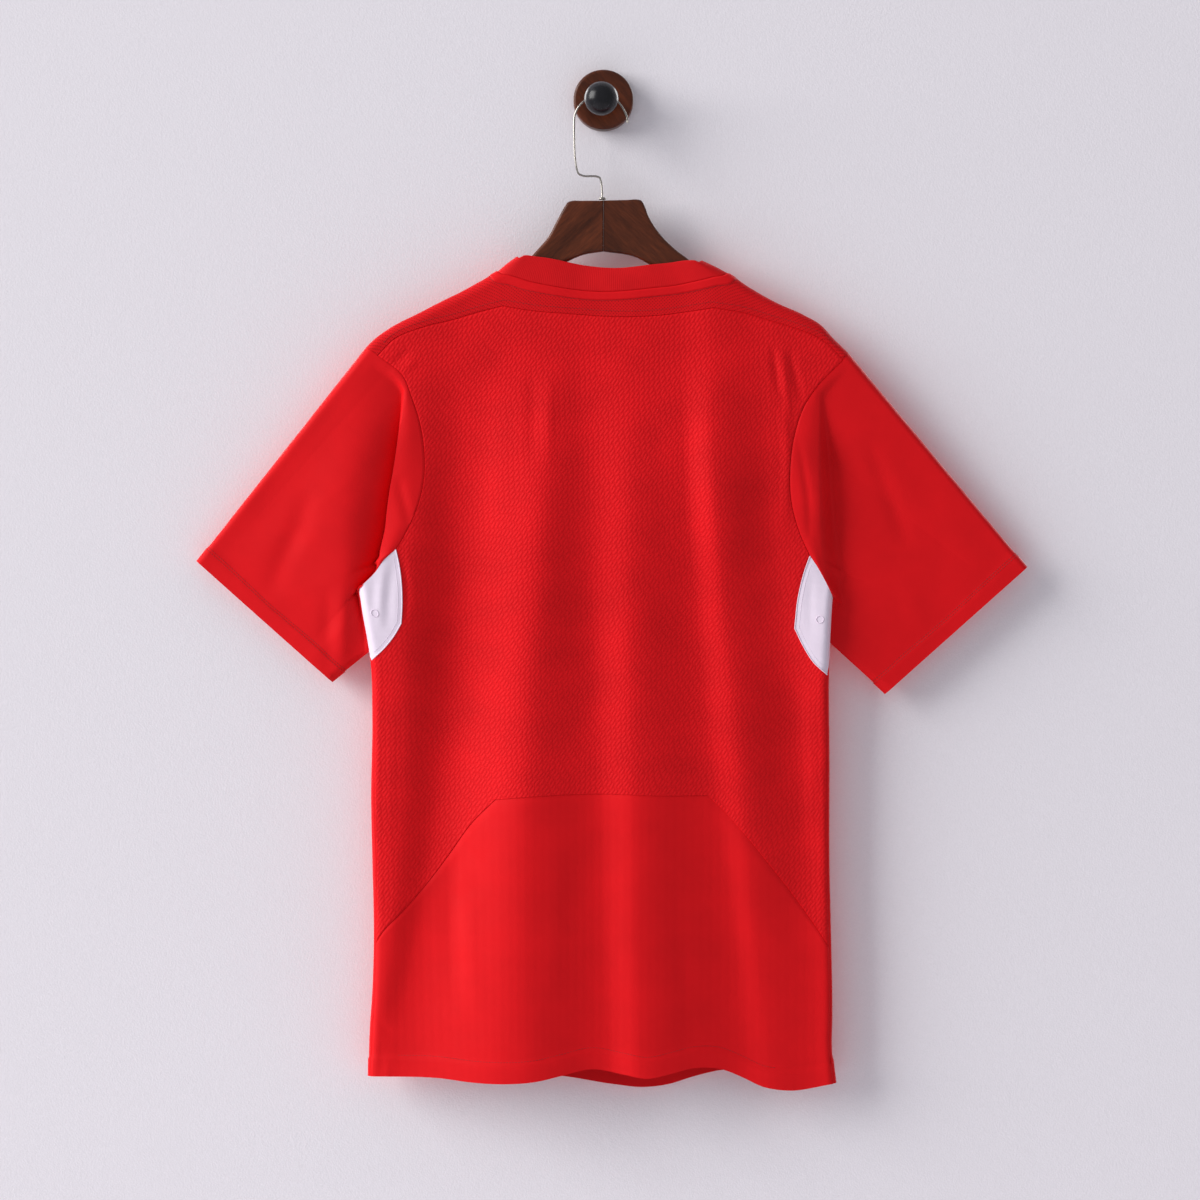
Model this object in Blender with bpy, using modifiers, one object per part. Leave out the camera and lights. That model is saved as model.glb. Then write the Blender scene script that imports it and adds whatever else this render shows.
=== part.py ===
"""A football jersey on a wooden hanger, hung from a round wall peg.

The wall is the plane y = 0 and the jersey's back looks along -Y. The origin is
the centre of the peg disc's flat back. Every size below is in millimetres, and
MM turns it into metres when a mesh is made.

The body of the jersey is one flattened tube. Its half depth is read from the
distance to the shoulder line (drop) and the distance to the side outline (edge),
and the folds of the cloth are added to it. Each panel is a patch of that tube
between its seams. A patch is worked out on a grid from its four edges, and
panels that share a seam share the points along it, 0.3 mm apart.
"""
import math

import bmesh
import bpy
import numpy as np

MM = 0.001
COLLECTION = "hanging_jersey"

# ---------------------------------------------------------------- driving sizes
CLOTH = 1.2            # wall of the knitted cloth
RIB = 1.8              # wall of the doubled collar rib
GAP = 0.3              # gap along every seam
HANG_Y = -25.0         # plane of the hanger, the hook and the shoulder line
RIDGE_R = 9.0          # rounding of the cloth over the hanger's arm
SIDE_R = 7.0           # rounding of the cloth down each side
EDGE_DEPTH = 9.0       # half depth of the tube beside its rounded edges
BACK_DEPTH = 12.0      # half depth of the back at the middle, folds not counted
FRONT_DEPTH = 13.0     # the same for the front
DEPTH_DROP = 170.0     # the tube reaches its full depth this far below the shoulder
DEPTH_EDGE = 120.0     # and this far in from the side
FRONT_FOLDS = -0.3     # the front's folds, as a share of the back's, mirrored
UNDERARM_Z = -455.0    # the sides come forward round this height
UNDERARM_REACH = 75.0
UNDERARM_FORWARD = 8.0
BESIDE_FROM = 15.0     # they stay forward this far in from the side
BESIDE_OVER = 80.0     # and are back in line this much further in
GUSSET_BOW = 0.8       # share of its way round the side at which a gusset's outer edge bends
COLLAR_BOW = 0.8       # the collar band bows outwards this much at half its height

# Shoulder line: x, z
SHOULDER = [(-211.2, -221.9), (-204.8, -215.3), (-189.1, -203.7), (-163.6, -190.5),
            (-142.0, -179.3), (-125.8, -171.3), (-105.1, -159.9), (-93.6, -153.3),
            (-73.4, -147.5), (0.0, -142.0), (86.0, -147.5), (110.5, -155.5),
            (129.0, -167.6), (152.8, -181.0), (177.2, -192.0), (195.4, -203.6),
            (200.3, -209.2), (217.6, -226.4)]

# Side outlines from the hem up; above the underarm they are construction lines: z, x
LEFT_SIDE = [(-866.0, -207.8), (-823.0, -206.7), (-791.0, -204.5), (-748.0, -203.2),
             (-673.0, -204.5), (-620.0, -205.6), (-550.0, -204.4), (-497.0, -206.0),
             (-482.0, -208.0), (-462.0, -211.6), (-434.0, -216.2), (-400.0, -221.0),
             (-330.0, -228.0), (-230.0, -235.0), (-140.0, -240.0)]
RIGHT_SIDE = [(-874.0, 205.8), (-843.0, 202.4), (-807.0, 202.7), (-749.0, 201.7),
              (-679.0, 200.1), (-583.0, 200.1), (-501.0, 199.6), (-467.0, 200.9),
              (-442.0, 202.6), (-400.0, 210.0), (-330.0, 222.0), (-230.0, 236.0),
              (-140.0, 242.0)]

# Folds of the back, a valley or crest line a row, with its x and height at each level
FOLD_LEVELS = (-875.0, -735.0, -603.0, -462.0, -338.0, -225.0)
FOLD_LINES = [
    # x at the six levels                              height at the six levels
    ((-208, -204, -206, -214, -230, -235), (0.0, 0.0, 0.0, 0.0, 0.0, 0.0)),      # left edge
    ((-202, -188, -180, -176, -170, -170), (0.0, 0.5, 0.5, 2.5, 2.0, 0.0)),      # side crest
    ((-192, -163, -143, -131, -128, -126), (0.0, -2.0, -4.5, -4.0, -3.0, 0.0)),  # left valley
    ((-69, -68, -66, -60, -50, -42), (15.0, 13.0, 9.5, 7.0, 6.5, 0.8)),          # main crest
    ((4, -1, -6, -10, -14, -18), (9.0, 8.0, 6.0, 3.2, 4.6, 0.4)),                # centre valley
    ((32, 29, 28, 25, 27, 28), (10.5, 10.5, 9.0, 6.4, 6.5, 1.0)),                # centre crest
    ((126, 114, 96, 82, 71, 67), (-0.3, 1.5, 3.2, 1.2, 3.6, 0.6)),               # right valley
    ((151, 134, 122, 108, 97, 96), (1.0, 2.8, 5.2, 4.0, 6.2, 1.0)),              # right crest
    ((188, 182, 173, 160, 148, 144), (0.0, 0.0, -0.8, -3.2, 0.2, 0.0)),          # outer valley
    ((206, 202, 201, 202, 222, 238), (0.0, 0.0, 0.0, 0.0, 0.0, 0.0)),            # right edge
]

# Seams of the back, from the left side to the right: x, z
YOKE_LEFT = [(-199.4, -228.5), (-186.1, -214.8), (-158.8, -203.2), (-134.1, -197.2),
             (-109.6, -190.0), (-88.9, -184.6)]
YOKE_MIDDLE = [(-88.9, -184.6), (-63.7, -188.6), (-27.8, -191.6), (15.1, -194.2),
               (51.0, -192.7), (78.0, -189.2), (97.3, -186.4)]
YOKE_RIGHT = [(97.3, -186.4), (126.7, -191.6), (151.9, -199.1), (172.1, -205.2),
              (197.5, -217.3), (212.1, -232.3)]
ARMHOLE_LEFT = [(-199.4, -228.5), (-176.4, -247.9), (-169.9, -264.0), (-164.0, -280.5),
                (-158.4, -308.3), (-158.4, -338.5), (-164.0, -362.0), (-175.5, -387.0),
                (-183.1, -399.6)]
ARMHOLE_RIGHT = [(212.1, -232.3), (187.4, -258.0), (177.2, -273.3), (169.7, -293.6),
                 (164.4, -327.5), (165.1, -355.1), (173.0, -385.2), (182.2, -405.4)]
LOWER_LEFT = [(-201.5, -747.7), (-195.0, -737.5), (-179.0, -721.0), (-155.2, -693.6),
              (-135.9, -668.0), (-117.0, -641.5), (-95.8, -620.1)]
LOWER_MIDDLE = [(-95.8, -620.1), (-60.0, -617.0), (-27.1, -615.3), (14.6, -615.3),
                (50.0, -616.5), (92.0, -616.5)]
LOWER_RIGHT = [(92.0, -616.5), (104.0, -627.5), (121.8, -647.2), (144.1, -674.4),
               (166.6, -703.2), (188.8, -734.5), (199.9, -751.3)]
BACK_HEM = [(-205.6, -864.6), (-180.0, -864.4), (-145.6, -864.8), (-113.4, -867.9),
            (-87.8, -868.6), (-59.3, -866.5), (-36.7, -861.6), (-11.8, -856.4),
            (19.0, -861.2), (38.4, -864.4), (57.7, -860.9), (80.2, -856.0), (102.6, -857.2),
            (121.8, -864.8), (141.0, -873.5), (163.3, -876.9), (203.8, -871.2)]

# White underarm gussets on the back: x, z
GUSSET_LEFT_TOP = [(-183.1, -399.6), (-193.4, -408.9), (-201.0, -419.5), (-216.2, -434.2)]
GUSSET_LEFT_INNER = [(-183.1, -399.6), (-180.3, -412.0), (-177.3, -444.1), (-178.1, -464.8)]
GUSSET_LEFT_LOWER = [(-178.1, -464.8), (-184.8, -476.2), (-192.5, -485.8), (-204.3, -496.9)]
GUSSET_RIGHT_TOP = [(182.2, -405.4), (188.0, -414.0), (195.5, -427.5), (202.6, -441.8)]
GUSSET_RIGHT_INNER = [(182.2, -405.4), (178.0, -416.9), (171.4, -445.0), (168.9, -469.2)]
GUSSET_RIGHT_LOWER = [(168.9, -469.2), (176.4, -484.6), (184.9, -498.3), (197.3, -510.0)]

# Side seams, from the gusset down to the hem: z, distance in from the outline
SIDE_SEAM_LEFT = [(-496.9, 1.7), (-583.0, 2.4), (-673.0, 4.0), (-747.7, 1.8), (-806.0, 2.6),
                  (-864.6, 2.2)]
SIDE_SEAM_RIGHT = [(-510.0, 2.3), (-583.0, 2.8), (-680.0, 2.2), (-751.3, 1.8), (-806.0, 2.4),
                   (-871.2, 2.0)]

# Front seams, hidden against the wall: v is the way down from the shoulder line
YOKE_FRONT_LEFT = [(-199.0, 32.0), (-140.0, 36.0), (-84.0, 38.0)]                  # x, v
YOKE_FRONT_RIGHT = [(100.0, 38.0), (156.0, 36.0), (210.0, 31.0)]                   # x, v
NECK_BACK = [(-84.0, 38.0), (-91.0, 20.0), (-93.6, 0.0), (-90.8, -8.5), (-79.8, -14.6),
             (-63.7, -23.2), (-46.1, -29.0), (-18.8, -34.2), (15.1, -35.2), (41.9, -32.6),
             (64.5, -28.4), (82.4, -21.4), (95.9, -14.6), (107.0, -8.0), (110.5, 0.0),
             (107.0, 20.0), (100.0, 38.0)]                                         # x, v
NECK_FRONT_DEPTH = 34.0   # the front neck's lowest point below its corners
NECK_FRONT_POWER = 2.4
ARMHOLE_FRONT_LEFT = [(-180.0, -262.0), (-170.0, -305.0), (-170.0, -360.0),
                      (-182.0, -415.0), (-197.0, -462.0)]                          # x, z
ARMHOLE_FRONT_RIGHT = [(190.0, -262.0), (180.0, -305.0), (178.0, -355.0),
                       (184.0, -405.0), (192.0, -452.0)]                           # x, z
FRONT_HEM = [(-180.0, -866.0), (-110.0, -867.0), (-40.0, -867.0), (9.8, -874.5),
             (34.0, -877.2), (57.7, -874.8), (80.0, -868.0), (105.8, -862.0),
             (150.0, -866.0)]                                                      # x, z
UNDERARM_LEFT = (-489.0, -3.7)    # z, and how far round the side towards the wall
UNDERARM_RIGHT = (-481.0, -3.7)

# Collar band, a row a place round the neck (0 left, 1 right, 2 left again by the
# front), and the way from its seam to its top edge: place, x, y, z
COLLAR_BAND = [(0.0, 16.7, 0.0, 12.5), (0.07, 10.2, 0.6, 18.2), (0.147, 6.7, 1.2, 21.6),
               (0.37, 1.8, 2.6, 21.9), (0.53, -1.0, 2.8, 20.4), (0.775, -6.5, 1.4, 19.4),
               (0.862, -10.4, 0.8, 17.6), (0.93, -16.0, 0.3, 14.6), (1.0, -22.4, 0.0, 11.2),
               (1.07, -18.0, 0.0, 14.0), (1.2, -12.0, -0.4, 18.0), (1.5, 0.0, -2.0, 21.0),
               (1.8, 11.0, -0.4, 18.0), (1.93, 15.5, 0.0, 14.0), (2.0, 16.7, 0.0, 12.5)]

# Sleeves: cuff corners and their planes
SLEEVE_LEFT = {
    "side": -1.0,
    "cuff_top": (-360.8, -14.0, -409.5),       # x, y, z
    "cuff_low": (-240.6, -17.0, -516.3),
    "cuff_half": 6.0,
    # fold line beside the armhole, from the top down: z, x
    "fold": [(-440.0, -216.0), (-416.9, -197.9), (-400.1, -196.0), (-382.5, -192.2),
             (-364.9, -190.4), (-347.3, -188.2), (-329.7, -185.2), (-312.1, -182.5),
             (-294.5, -179.9), (-250.0, -174.0)],
    # round the armhole (1 yoke seam, 2 gusset, 3 its outer corner, 4 underarm):
    # place, fold depth share, drop behind the seam, rise of the crest, way to it
    "rows": [(-1.0, 0.0, 0.0, 0.0, 26.0), (1.0, 0.0, 0.0, 0.0, 26.0),
             (1.22, 0.35, 9.0, 5.0, 26.0), (1.4, 1.0, 12.0, 8.5, 28.0),
             (2.0, 1.0, 14.0, 9.0, 26.0), (2.5, 1.0, 10.0, 7.0, 24.0), (3.0, 1.0, 7.0, 5.0, 24.0),
             (3.45, 0.8, 4.0, 2.0, 24.0), (3.8, 0.2, 1.5, 0.0, 24.0), (4.0, 0.0, 0.0, 0.0, 24.0),
             (5.0, 0.0, 0.0, 0.0, 24.0)],
}
SLEEVE_RIGHT = {
    "side": 1.0,
    "cuff_top": (375.4, -18.0, -415.0),
    "cuff_low": (250.0, -18.0, -526.9),
    "cuff_half": 6.0,
    "fold": [(-450.0, 203.0), (-423.9, 192.6), (-400.1, 190.8), (-364.9, 189.9),
             (-329.7, 189.7), (-294.5, 189.7), (-261.5, 189.6), (-230.0, 189.0)],
    "rows": [(-1.0, 0.0, 0.0, 0.0, 30.0), (1.0, 0.0, 0.0, 0.0, 30.0),
             (1.22, 0.35, 6.0, 1.5, 30.0), (1.4, 1.0, 9.0, 2.0, 30.0),
             (2.0, 1.0, 12.0, 3.0, 40.0), (2.5, 1.0, 9.0, 3.0, 42.0), (3.0, 1.0, 6.5, 3.0, 44.0),
             (3.45, 0.8, 4.0, 1.5, 40.0), (3.8, 0.2, 1.5, 0.0, 30.0), (4.0, 0.0, 0.0, 0.0, 30.0),
             (5.0, 0.0, 0.0, 0.0, 30.0)],
}
CUFF_PLACE = [(-1.0, -0.06), (0.0, 0.0), (1.0, 0.07), (1.5, 0.22), (2.0, 0.42), (2.5, 0.58),
              (3.0, 0.77), (4.0, 1.0), (4.5, 1.45), (5.0, 1.94)]   # place at the armhole, at the cuff
FOLD_EDGE = 5.0        # width of the step beside a sleeve's fold
STRIP_PROUD = 1.2      # the strip between armhole and fold stands this much proud
LEAST_STRIP = 3.4      # least distance of the fold from the seam
OWN_FROM = 3.2         # between these places round the armhole the sleeve turns off the seam
OWN_TO = 3.9           # at once, and its wall takes its own direction there
REST_POWER = 1.25      # columns beyond the fold get wider towards the cuff
FRONT_SHARE = 0.55     # share of its depth that the wall side settles to at once
CREST_SOFT = 0.12      # softness of the crest behind the fold
PROUD_FROM = 10.0      # a narrower strip stands less proud
LEAST_TURN = 0.25      # least sine of the angle between a row and the armhole
FOLD_SEARCH = 400      # steps along a row when the fold line is looked for
CUFF_R = 5.0           # rounding of the sleeve's two edges at the cuff
FRONT_SETTLE = 22.0    # the sleeve's wall side reaches its plane in this distance

# Counts of cells: columns over the left, middle and right of the back, and rows
COLS_SIDE = 9
COLS_MIDDLE = 10
COLS_SHOULDER = 5
ROWS_ARMHOLE = 7
ROWS_GUSSET = 4
COLS_GUSSET = 3
ROWS_SIDE = 7
ROWS_LOWER = 5
ROWS_YOKE = 8
ROWS_FRONT_ARMHOLE = 7
COLS_SLEEVE = (2, 2, 6)   # strip, step and the rest
ROWS_COLLAR = 3

# ---------------------------------------------------------------- hanger and peg
DISC_R = 26.7
DISC_DEPTH = 16.0
DISC_ROUND = 3.0
POST_R = 4.5
BALL_R = 15.0
BALL_X = -1.8
BALL_Z = -2.4
BALL_Y = -42.0
BALL_FLAT_R = 5.0
HANGER_THICK = 10.0
HANGER_ROUND = 3.0
HOOK_WIRE_R = 0.9
FERRULE_R = 3.4
FERRULE_BORE = 1.25
HANGER_BEVEL_STEPS = 3
HOOK_CELLS = 56
LIP_CELLS = 4
BALL_CELLS = 16
TURN_STEPS = {"disc": 48, "post": 24, "ball": 32}
BEAD_STEPS = (20, 8)   # round the bead, round its wire
HANGER_TOP_Z = -90.9

# Hanger halves, round from the joint: x, z
HANGER_LEFT = [(-0.15, -90.9), (-28.5, -91.3), (-31.5, -92.3), (-33.6, -95.0), (-40.0, -106.2),
               (-50.1, -124.7), (-60.0, -136.0), (-69.0, -146.0), (-79.0, -157.0),
               (-91.0, -164.5), (-105.1, -170.5), (-126.2, -179.0), (-152.6, -190.0),
               (-174.6, -200.5), (-186.0, -209.3), (-189.6, -214.0), (-188.6, -218.6),
               (-182.8, -220.6), (-161.4, -212.8), (-135.0, -200.5), (-99.8, -182.8),
               (-69.0, -166.1), (-48.8, -153.7), (-35.7, -146.7), (-18.0, -138.8),
               (-0.15, -135.7)]
HANGER_RIGHT = [(0.15, -90.7), (30.5, -89.9), (33.6, -90.7), (35.6, -93.5), (40.0, -104.5),
                (51.0, -121.4), (64.4, -134.8), (77.1, -144.6), (86.0, -156.0), (96.5, -164.0),
                (110.5, -170.0), (129.0, -177.5), (152.8, -188.5), (173.0, -197.6),
                (188.8, -207.0), (195.3, -213.0), (196.4, -219.0), (192.4, -222.5),
                (183.6, -220.7), (164.2, -211.9), (137.8, -199.6), (102.6, -181.9),
                (76.2, -166.9), (56.8, -156.4), (46.7, -150.8), (27.8, -140.5), (0.15, -135.7)]
# Hook, from its free end over the post and down to the hanger: x, z
HOOK_ROUTE = [(21.6, -22.1), (20.6, -16.0), (18.2, -10.6), (13.3, -3.6), (6.5, 1.6),
              (-1.8, 3.4), (-10.0, 1.9), (-16.7, -2.2), (-22.2, -8.2), (-25.2, -14.8),
              (-25.9, -24.0), (-25.7, -35.6), (-24.7, -55.7), (-23.4, -63.0), (-21.6, -67.2),
              (-18.6, -68.6), (-10.0, -69.1), (-5.8, -69.4), (-3.2, -70.6), (-2.1, -73.6),
              (-1.3, -80.0), (-0.9, -90.5)]

# ---------------------------------------------------------------- finishes: colour, roughness, metallic
FINISHES = {
    "red_knit": ((0.62, 0.010, 0.018), 0.62, 0.0),
    "red_mesh": ((0.60, 0.010, 0.018), 0.68, 0.0),
    "red_rib": ((0.62, 0.012, 0.020), 0.66, 0.0),
    "white_knit": ((0.82, 0.76, 0.84), 0.60, 0.0),
    "walnut": ((0.060, 0.020, 0.010), 0.34, 0.0),
    "nickel": ((0.62, 0.60, 0.56), 0.25, 1.0),
    "black_gloss": ((0.006, 0.006, 0.008), 0.12, 0.0),
}


# ---------------------------------------------------------------- curves
def smooth(share):
    """From 0 to 1 with flat ends: 3u^2 - 2u^3."""
    u = np.clip(share, 0.0, 1.0)
    return u * u * (3.0 - 2.0 * u)


def spline(knots, values, at):
    """Cubic curve through the values at the knots, its slopes taken from their neighbours."""
    knots = np.asarray(knots, float)
    values = np.asarray(values, float).reshape(len(knots), -1)
    slopes = np.gradient(values, knots, axis=0)
    at = np.clip(np.asarray(at, float), knots[0], knots[-1])
    i = np.clip(np.searchsorted(knots, at, side="right") - 1, 0, len(knots) - 2)
    width = (knots[i + 1] - knots[i])[..., None]
    u = (at[..., None] - knots[i][..., None]) / width
    start = values[i] * (1 + 2 * u) * (1 - u) ** 2 + slopes[i] * width * u * (1 - u) ** 2
    end = values[i + 1] * u * u * (3 - 2 * u) - slopes[i + 1] * width * u * u * (1 - u)
    return start + end


def read(table, at):
    """Value of a two-column table of place and value, at any place."""
    rows = np.asarray(table, float)
    return spline(rows[:, 0], rows[:, 1], at)[..., 0]


def sample(points, cells):
    """Points spaced evenly along a smooth curve through the given ones."""
    points = np.asarray(points, float)
    steps = np.linalg.norm(np.diff(points, axis=0), axis=1)
    knots = np.concatenate([[0.0], np.cumsum(steps)])
    return spline(knots, points, np.linspace(0.0, knots[-1], cells + 1))


def chain(*runs):
    """Runs of points joined end to end, each shared point once."""
    return np.concatenate([runs[0]] + [run[1:] for run in runs[1:]])


def patch(top, bottom, left, right, fade=3):
    """Grid between four edges.

    Its rows run straight from left to right. The bends of the top and bottom
    edges, off their own straight lines, fade out with that power of the way to them.
    """
    s = np.linspace(0.0, 1.0, len(top))[None, :, None]
    t = np.linspace(0.0, 1.0, len(left))[:, None, None]
    across = (1 - s) * left[:, None, :] + s * right[:, None, :]
    bend_top = top - (1 - s) * top[0] - s * top[-1]
    bend_bottom = bottom - (1 - s) * bottom[0] - s * bottom[-1]
    return across + (1 - t) ** fade * bend_top + t ** fade * bend_bottom


# ---------------------------------------------------------------- the body's tube
def roundness(distance, radius):
    """Rise of a quarter circle of that radius: 0 at its foot, 1 from its top on."""
    u = 1.0 - np.clip(distance / radius, 0.0, 1.0)
    return np.sqrt(np.maximum(0.0, 1.0 - u * u))


def drop_below_shoulder(x, z):
    return read(SHOULDER, x) - z


def edge_distance(x, z):
    return np.minimum(x - read(LEFT_SIDE, z), read(RIGHT_SIDE, z) - x)


def mid_plane(x, z):
    """Plane between back and front: the hanger's, brought forward at the underarms."""
    height = np.exp(-((z - UNDERARM_Z) / UNDERARM_REACH) ** 2)
    beside = 1.0 - smooth((edge_distance(x, z) - BESIDE_FROM) / BESIDE_OVER)
    return HANG_Y - UNDERARM_FORWARD * height * beside


def half_depth(x, z, middle):
    """Half depth of the tube: full in the middle, round at the shoulder and sides."""
    drop = drop_below_shoulder(x, z)
    edge = edge_distance(x, z)
    full = EDGE_DEPTH + (middle - EDGE_DEPTH) * smooth(drop / DEPTH_DROP) * smooth(edge / DEPTH_EDGE)
    return full * roundness(drop, RIDGE_R) * roundness(edge, SIDE_R)


def fold_height(x, z):
    """Height of the folds: flat-ended curves from each valley or crest line to the next."""
    lines = [(spline(FOLD_LEVELS, xs, z)[..., 0], spline(FOLD_LEVELS, heights, z)[..., 0])
             for xs, heights in FOLD_LINES]
    total = np.zeros(np.broadcast(x, z).shape)
    for (x_a, h_a), (x_b, h_b) in zip(lines[:-1], lines[1:]):
        inside = (x >= x_a) & (x < x_b)
        total = np.where(inside, h_a + (h_b - h_a) * smooth((x - x_a) / (x_b - x_a)), total)
    return total


def back_y(x, z):
    return mid_plane(x, z) - half_depth(x, z, BACK_DEPTH) - fold_height(x, z)


def front_y(x, z):
    return mid_plane(x, z) + half_depth(x, z, FRONT_DEPTH) - FRONT_FOLDS * fold_height(-x, z)


def round_way(distance, radius):
    """Way over a rounded edge for a distance in from it, and 0 on the edge itself."""
    inside = radius * np.arccos(np.clip(1.0 - distance / radius, -1.0, 1.0))
    return np.where(distance < radius, inside, distance - radius + radius * math.pi / 2)


def in_from_edge(way, radius):
    """The other way about: distance in from a rounded edge for a way over it."""
    way = np.abs(way)
    quarter = radius * math.pi / 2
    return np.where(way < quarter, radius * (1 - np.cos(way / radius)), way - quarter + radius)


def back_point(x, z):
    """Point of the back."""
    return np.stack([x, back_y(x, z), z], axis=-1)


def shoulder_point(x, v):
    """Point of the yoke, v being its way from the shoulder line, negative on the back."""
    z = read(SHOULDER, x) - in_from_edge(v, RIDGE_R)
    return np.stack([x, np.where(v < 0, back_y(x, z), front_y(x, z)), z], axis=-1)


def side_point(side, q, z):
    """Point of a gusset, q being its way from the side outline, positive on the back."""
    outline = read(LEFT_SIDE if side < 0 else RIGHT_SIDE, z)
    x = outline - side * in_from_edge(q, SIDE_R)
    return np.stack([x, np.where(q > 0, back_y(x, z), front_y(x, z)), z], axis=-1)


def front_point(c, z):
    """Point of the front: c is x on its flat, and runs on round both sides to the back."""
    flat = SIDE_R - SIDE_R * math.pi / 2
    left = read(LEFT_SIDE, z)
    right = read(RIGHT_SIDE, z)
    q_left = left + flat - c
    q_right = c - right + flat
    nearer_left = q_left > q_right
    q = np.where(nearer_left, q_left, q_right)
    inward = in_from_edge(q, SIDE_R)
    x = np.where(nearer_left, left + inward, right - inward)
    return np.stack([x, np.where(q > 0, back_y(x, z), front_y(x, z)), z], axis=-1)


def front_c(side, q, z):
    """The front's coordinate c for a way q round one side."""
    flat = SIDE_R - SIDE_R * math.pi / 2
    outline = read(LEFT_SIDE if side < 0 else RIGHT_SIDE, z)
    return outline + flat - q if side < 0 else outline - flat + q


def on_surface(surface, first, second, sign):
    """Points of a surface and its outward directions, from its slopes along both coordinates."""
    step = 0.05
    along = surface(first + step, second) - surface(first - step, second)
    up = surface(first, second + step) - surface(first, second - step)
    out = sign * np.cross(along, up)
    return surface(first, second), out / np.linalg.norm(out, axis=-1, keepdims=True)


# ---------------------------------------------------------------- cloth walls
def drawn_in(points, beside):
    """Border points moved half a seam gap square to the border, towards the row beside them."""
    way = np.gradient(points, axis=0)
    way /= np.linalg.norm(way, axis=-1, keepdims=True)
    inward = beside - points
    inward -= np.sum(inward * way, axis=-1, keepdims=True) * way
    return points + inward / np.linalg.norm(inward, axis=-1, keepdims=True) * GAP / 2


def with_gaps(grid, sides):
    """Grid with the named borders drawn in: t top, b bottom, l left, r right."""
    grid = grid.copy()
    source = grid.copy()
    if "t" in sides:
        grid[0] += drawn_in(source[0], source[1]) - source[0]
    if "b" in sides:
        grid[-1] += drawn_in(source[-1], source[-2]) - source[-1]
    if "l" in sides:
        grid[:, 0] += drawn_in(source[:, 0], source[:, 1]) - source[:, 0]
    if "r" in sides:
        grid[:, -1] += drawn_in(source[:, -1], source[:, -2]) - source[:, -1]
    return grid


def skin_triangles(number, points, directions):
    """Two triangles for each cell of a grid, split along the diagonal that stands out further."""
    cells = np.stack([number[:-1, :-1], number[1:, :-1], number[1:, 1:], number[:-1, 1:]], axis=-1)
    cells = cells.reshape(-1, 4)
    corners = points[cells]
    apart = corners[:, 0] + corners[:, 2] - corners[:, 1] - corners[:, 3]
    stands_out = np.sum(apart * directions[cells].sum(axis=1), axis=-1) >= 0
    cells = np.where(stands_out[:, None], cells, np.roll(cells, -1, axis=1))
    return np.concatenate([cells[:, [0, 1, 2]], cells[:, [0, 2, 3]]])


def wall(name, outer, directions, thickness, finish, ring=False):
    """Closed wall between a grid of points and the same grid moved inwards.

    With ring set, the last column joins the first, and the wall is an open tube.
    """
    rows, cols = outer.shape[:2]
    inner = outer - directions * thickness
    points = np.concatenate([outer.reshape(-1, 3), inner.reshape(-1, 3)]) * MM
    number = np.arange(rows * cols).reshape(rows, cols)
    if ring:
        number = np.concatenate([number, number[:, :1]], axis=1)
    under = number + rows * cols
    skin = skin_triangles(number, points, directions.reshape(-1, 3))
    faces = skin.tolist() + (skin[:, ::-1] + rows * cols).tolist()
    rims = [(number[0], under[0]), (number[-1], under[-1])]
    if not ring:
        rims += [(number[:, 0], under[:, 0]), (number[:, -1], under[:, -1])]
    for upper, lower in rims:
        # Triangles from the higher end of each edge, so that a neighbour's rim lies alongside
        swap = points[upper[:-1], 2] < points[upper[1:], 2]
        start, end = np.where(swap, [upper[1:], upper[:-1]], [upper[:-1], upper[1:]])
        start_in, end_in = np.where(swap, [lower[1:], lower[:-1]], [lower[:-1], lower[1:]])
        faces += np.stack([start, start_in, end_in], axis=-1).tolist()
        faces += np.stack([start, end_in, end], axis=-1).tolist()
    mesh = bpy.data.meshes.new(name)
    mesh.from_pydata(points.tolist(), [], faces)
    shell = bmesh.new()
    shell.from_mesh(mesh)
    bmesh.ops.recalc_face_normals(shell, faces=shell.faces)
    shell.to_mesh(mesh)
    shell.free()
    mesh.shade_smooth()
    mesh.set_sharp_from_angle(angle=math.radians(60))
    return placed(bpy.data.objects.new(name, mesh), finish)


def placed(obj, finish):
    """Object in the collection with its finish."""
    bpy.data.collections[COLLECTION].objects.link(obj)
    obj.data.materials.append(bpy.data.materials[finish])
    return obj


# ---------------------------------------------------------------- seams, row by row
def outline_x(side, z):
    return read(LEFT_SIDE if side < 0 else RIGHT_SIDE, z)


def to_x(side, ways):
    """x and z of points of the back given by their way q round one side, and z."""
    x = outline_x(side, ways[:, 1]) - side * in_from_edge(ways[:, 0], SIDE_R)
    return np.stack([x, ways[:, 1]], axis=-1)


def to_q(side, points):
    """The other way about: way round one side, and z, of points of the back."""
    inward = side * (outline_x(side, points[:, 1]) - points[:, 0])
    return np.stack([round_way(inward, SIDE_R), points[:, 1]], axis=-1)


def to_v(points):
    """x and way down from the shoulder line, negative on the back, of points of the back."""
    drop = drop_below_shoulder(points[:, 0], points[:, 1])
    return np.stack([points[:, 0], -round_way(drop, RIDGE_R)], axis=-1)


def side_seam(side):
    """Side seam from the gusset to the hem, in q and z."""
    seam = np.asarray((SIDE_SEAM_LEFT if side < 0 else SIDE_SEAM_RIGHT)[::-1])
    corner = (LOWER_LEFT[0] if side < 0 else LOWER_RIGHT[-1])[1]
    z = np.concatenate([np.linspace(seam[-1, 0], corner, ROWS_SIDE + 1),
                        np.linspace(corner, seam[0, 0], ROWS_LOWER + 1)[1:]])
    return np.stack([round_way(read(seam, z), SIDE_R), z], axis=-1)


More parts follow.
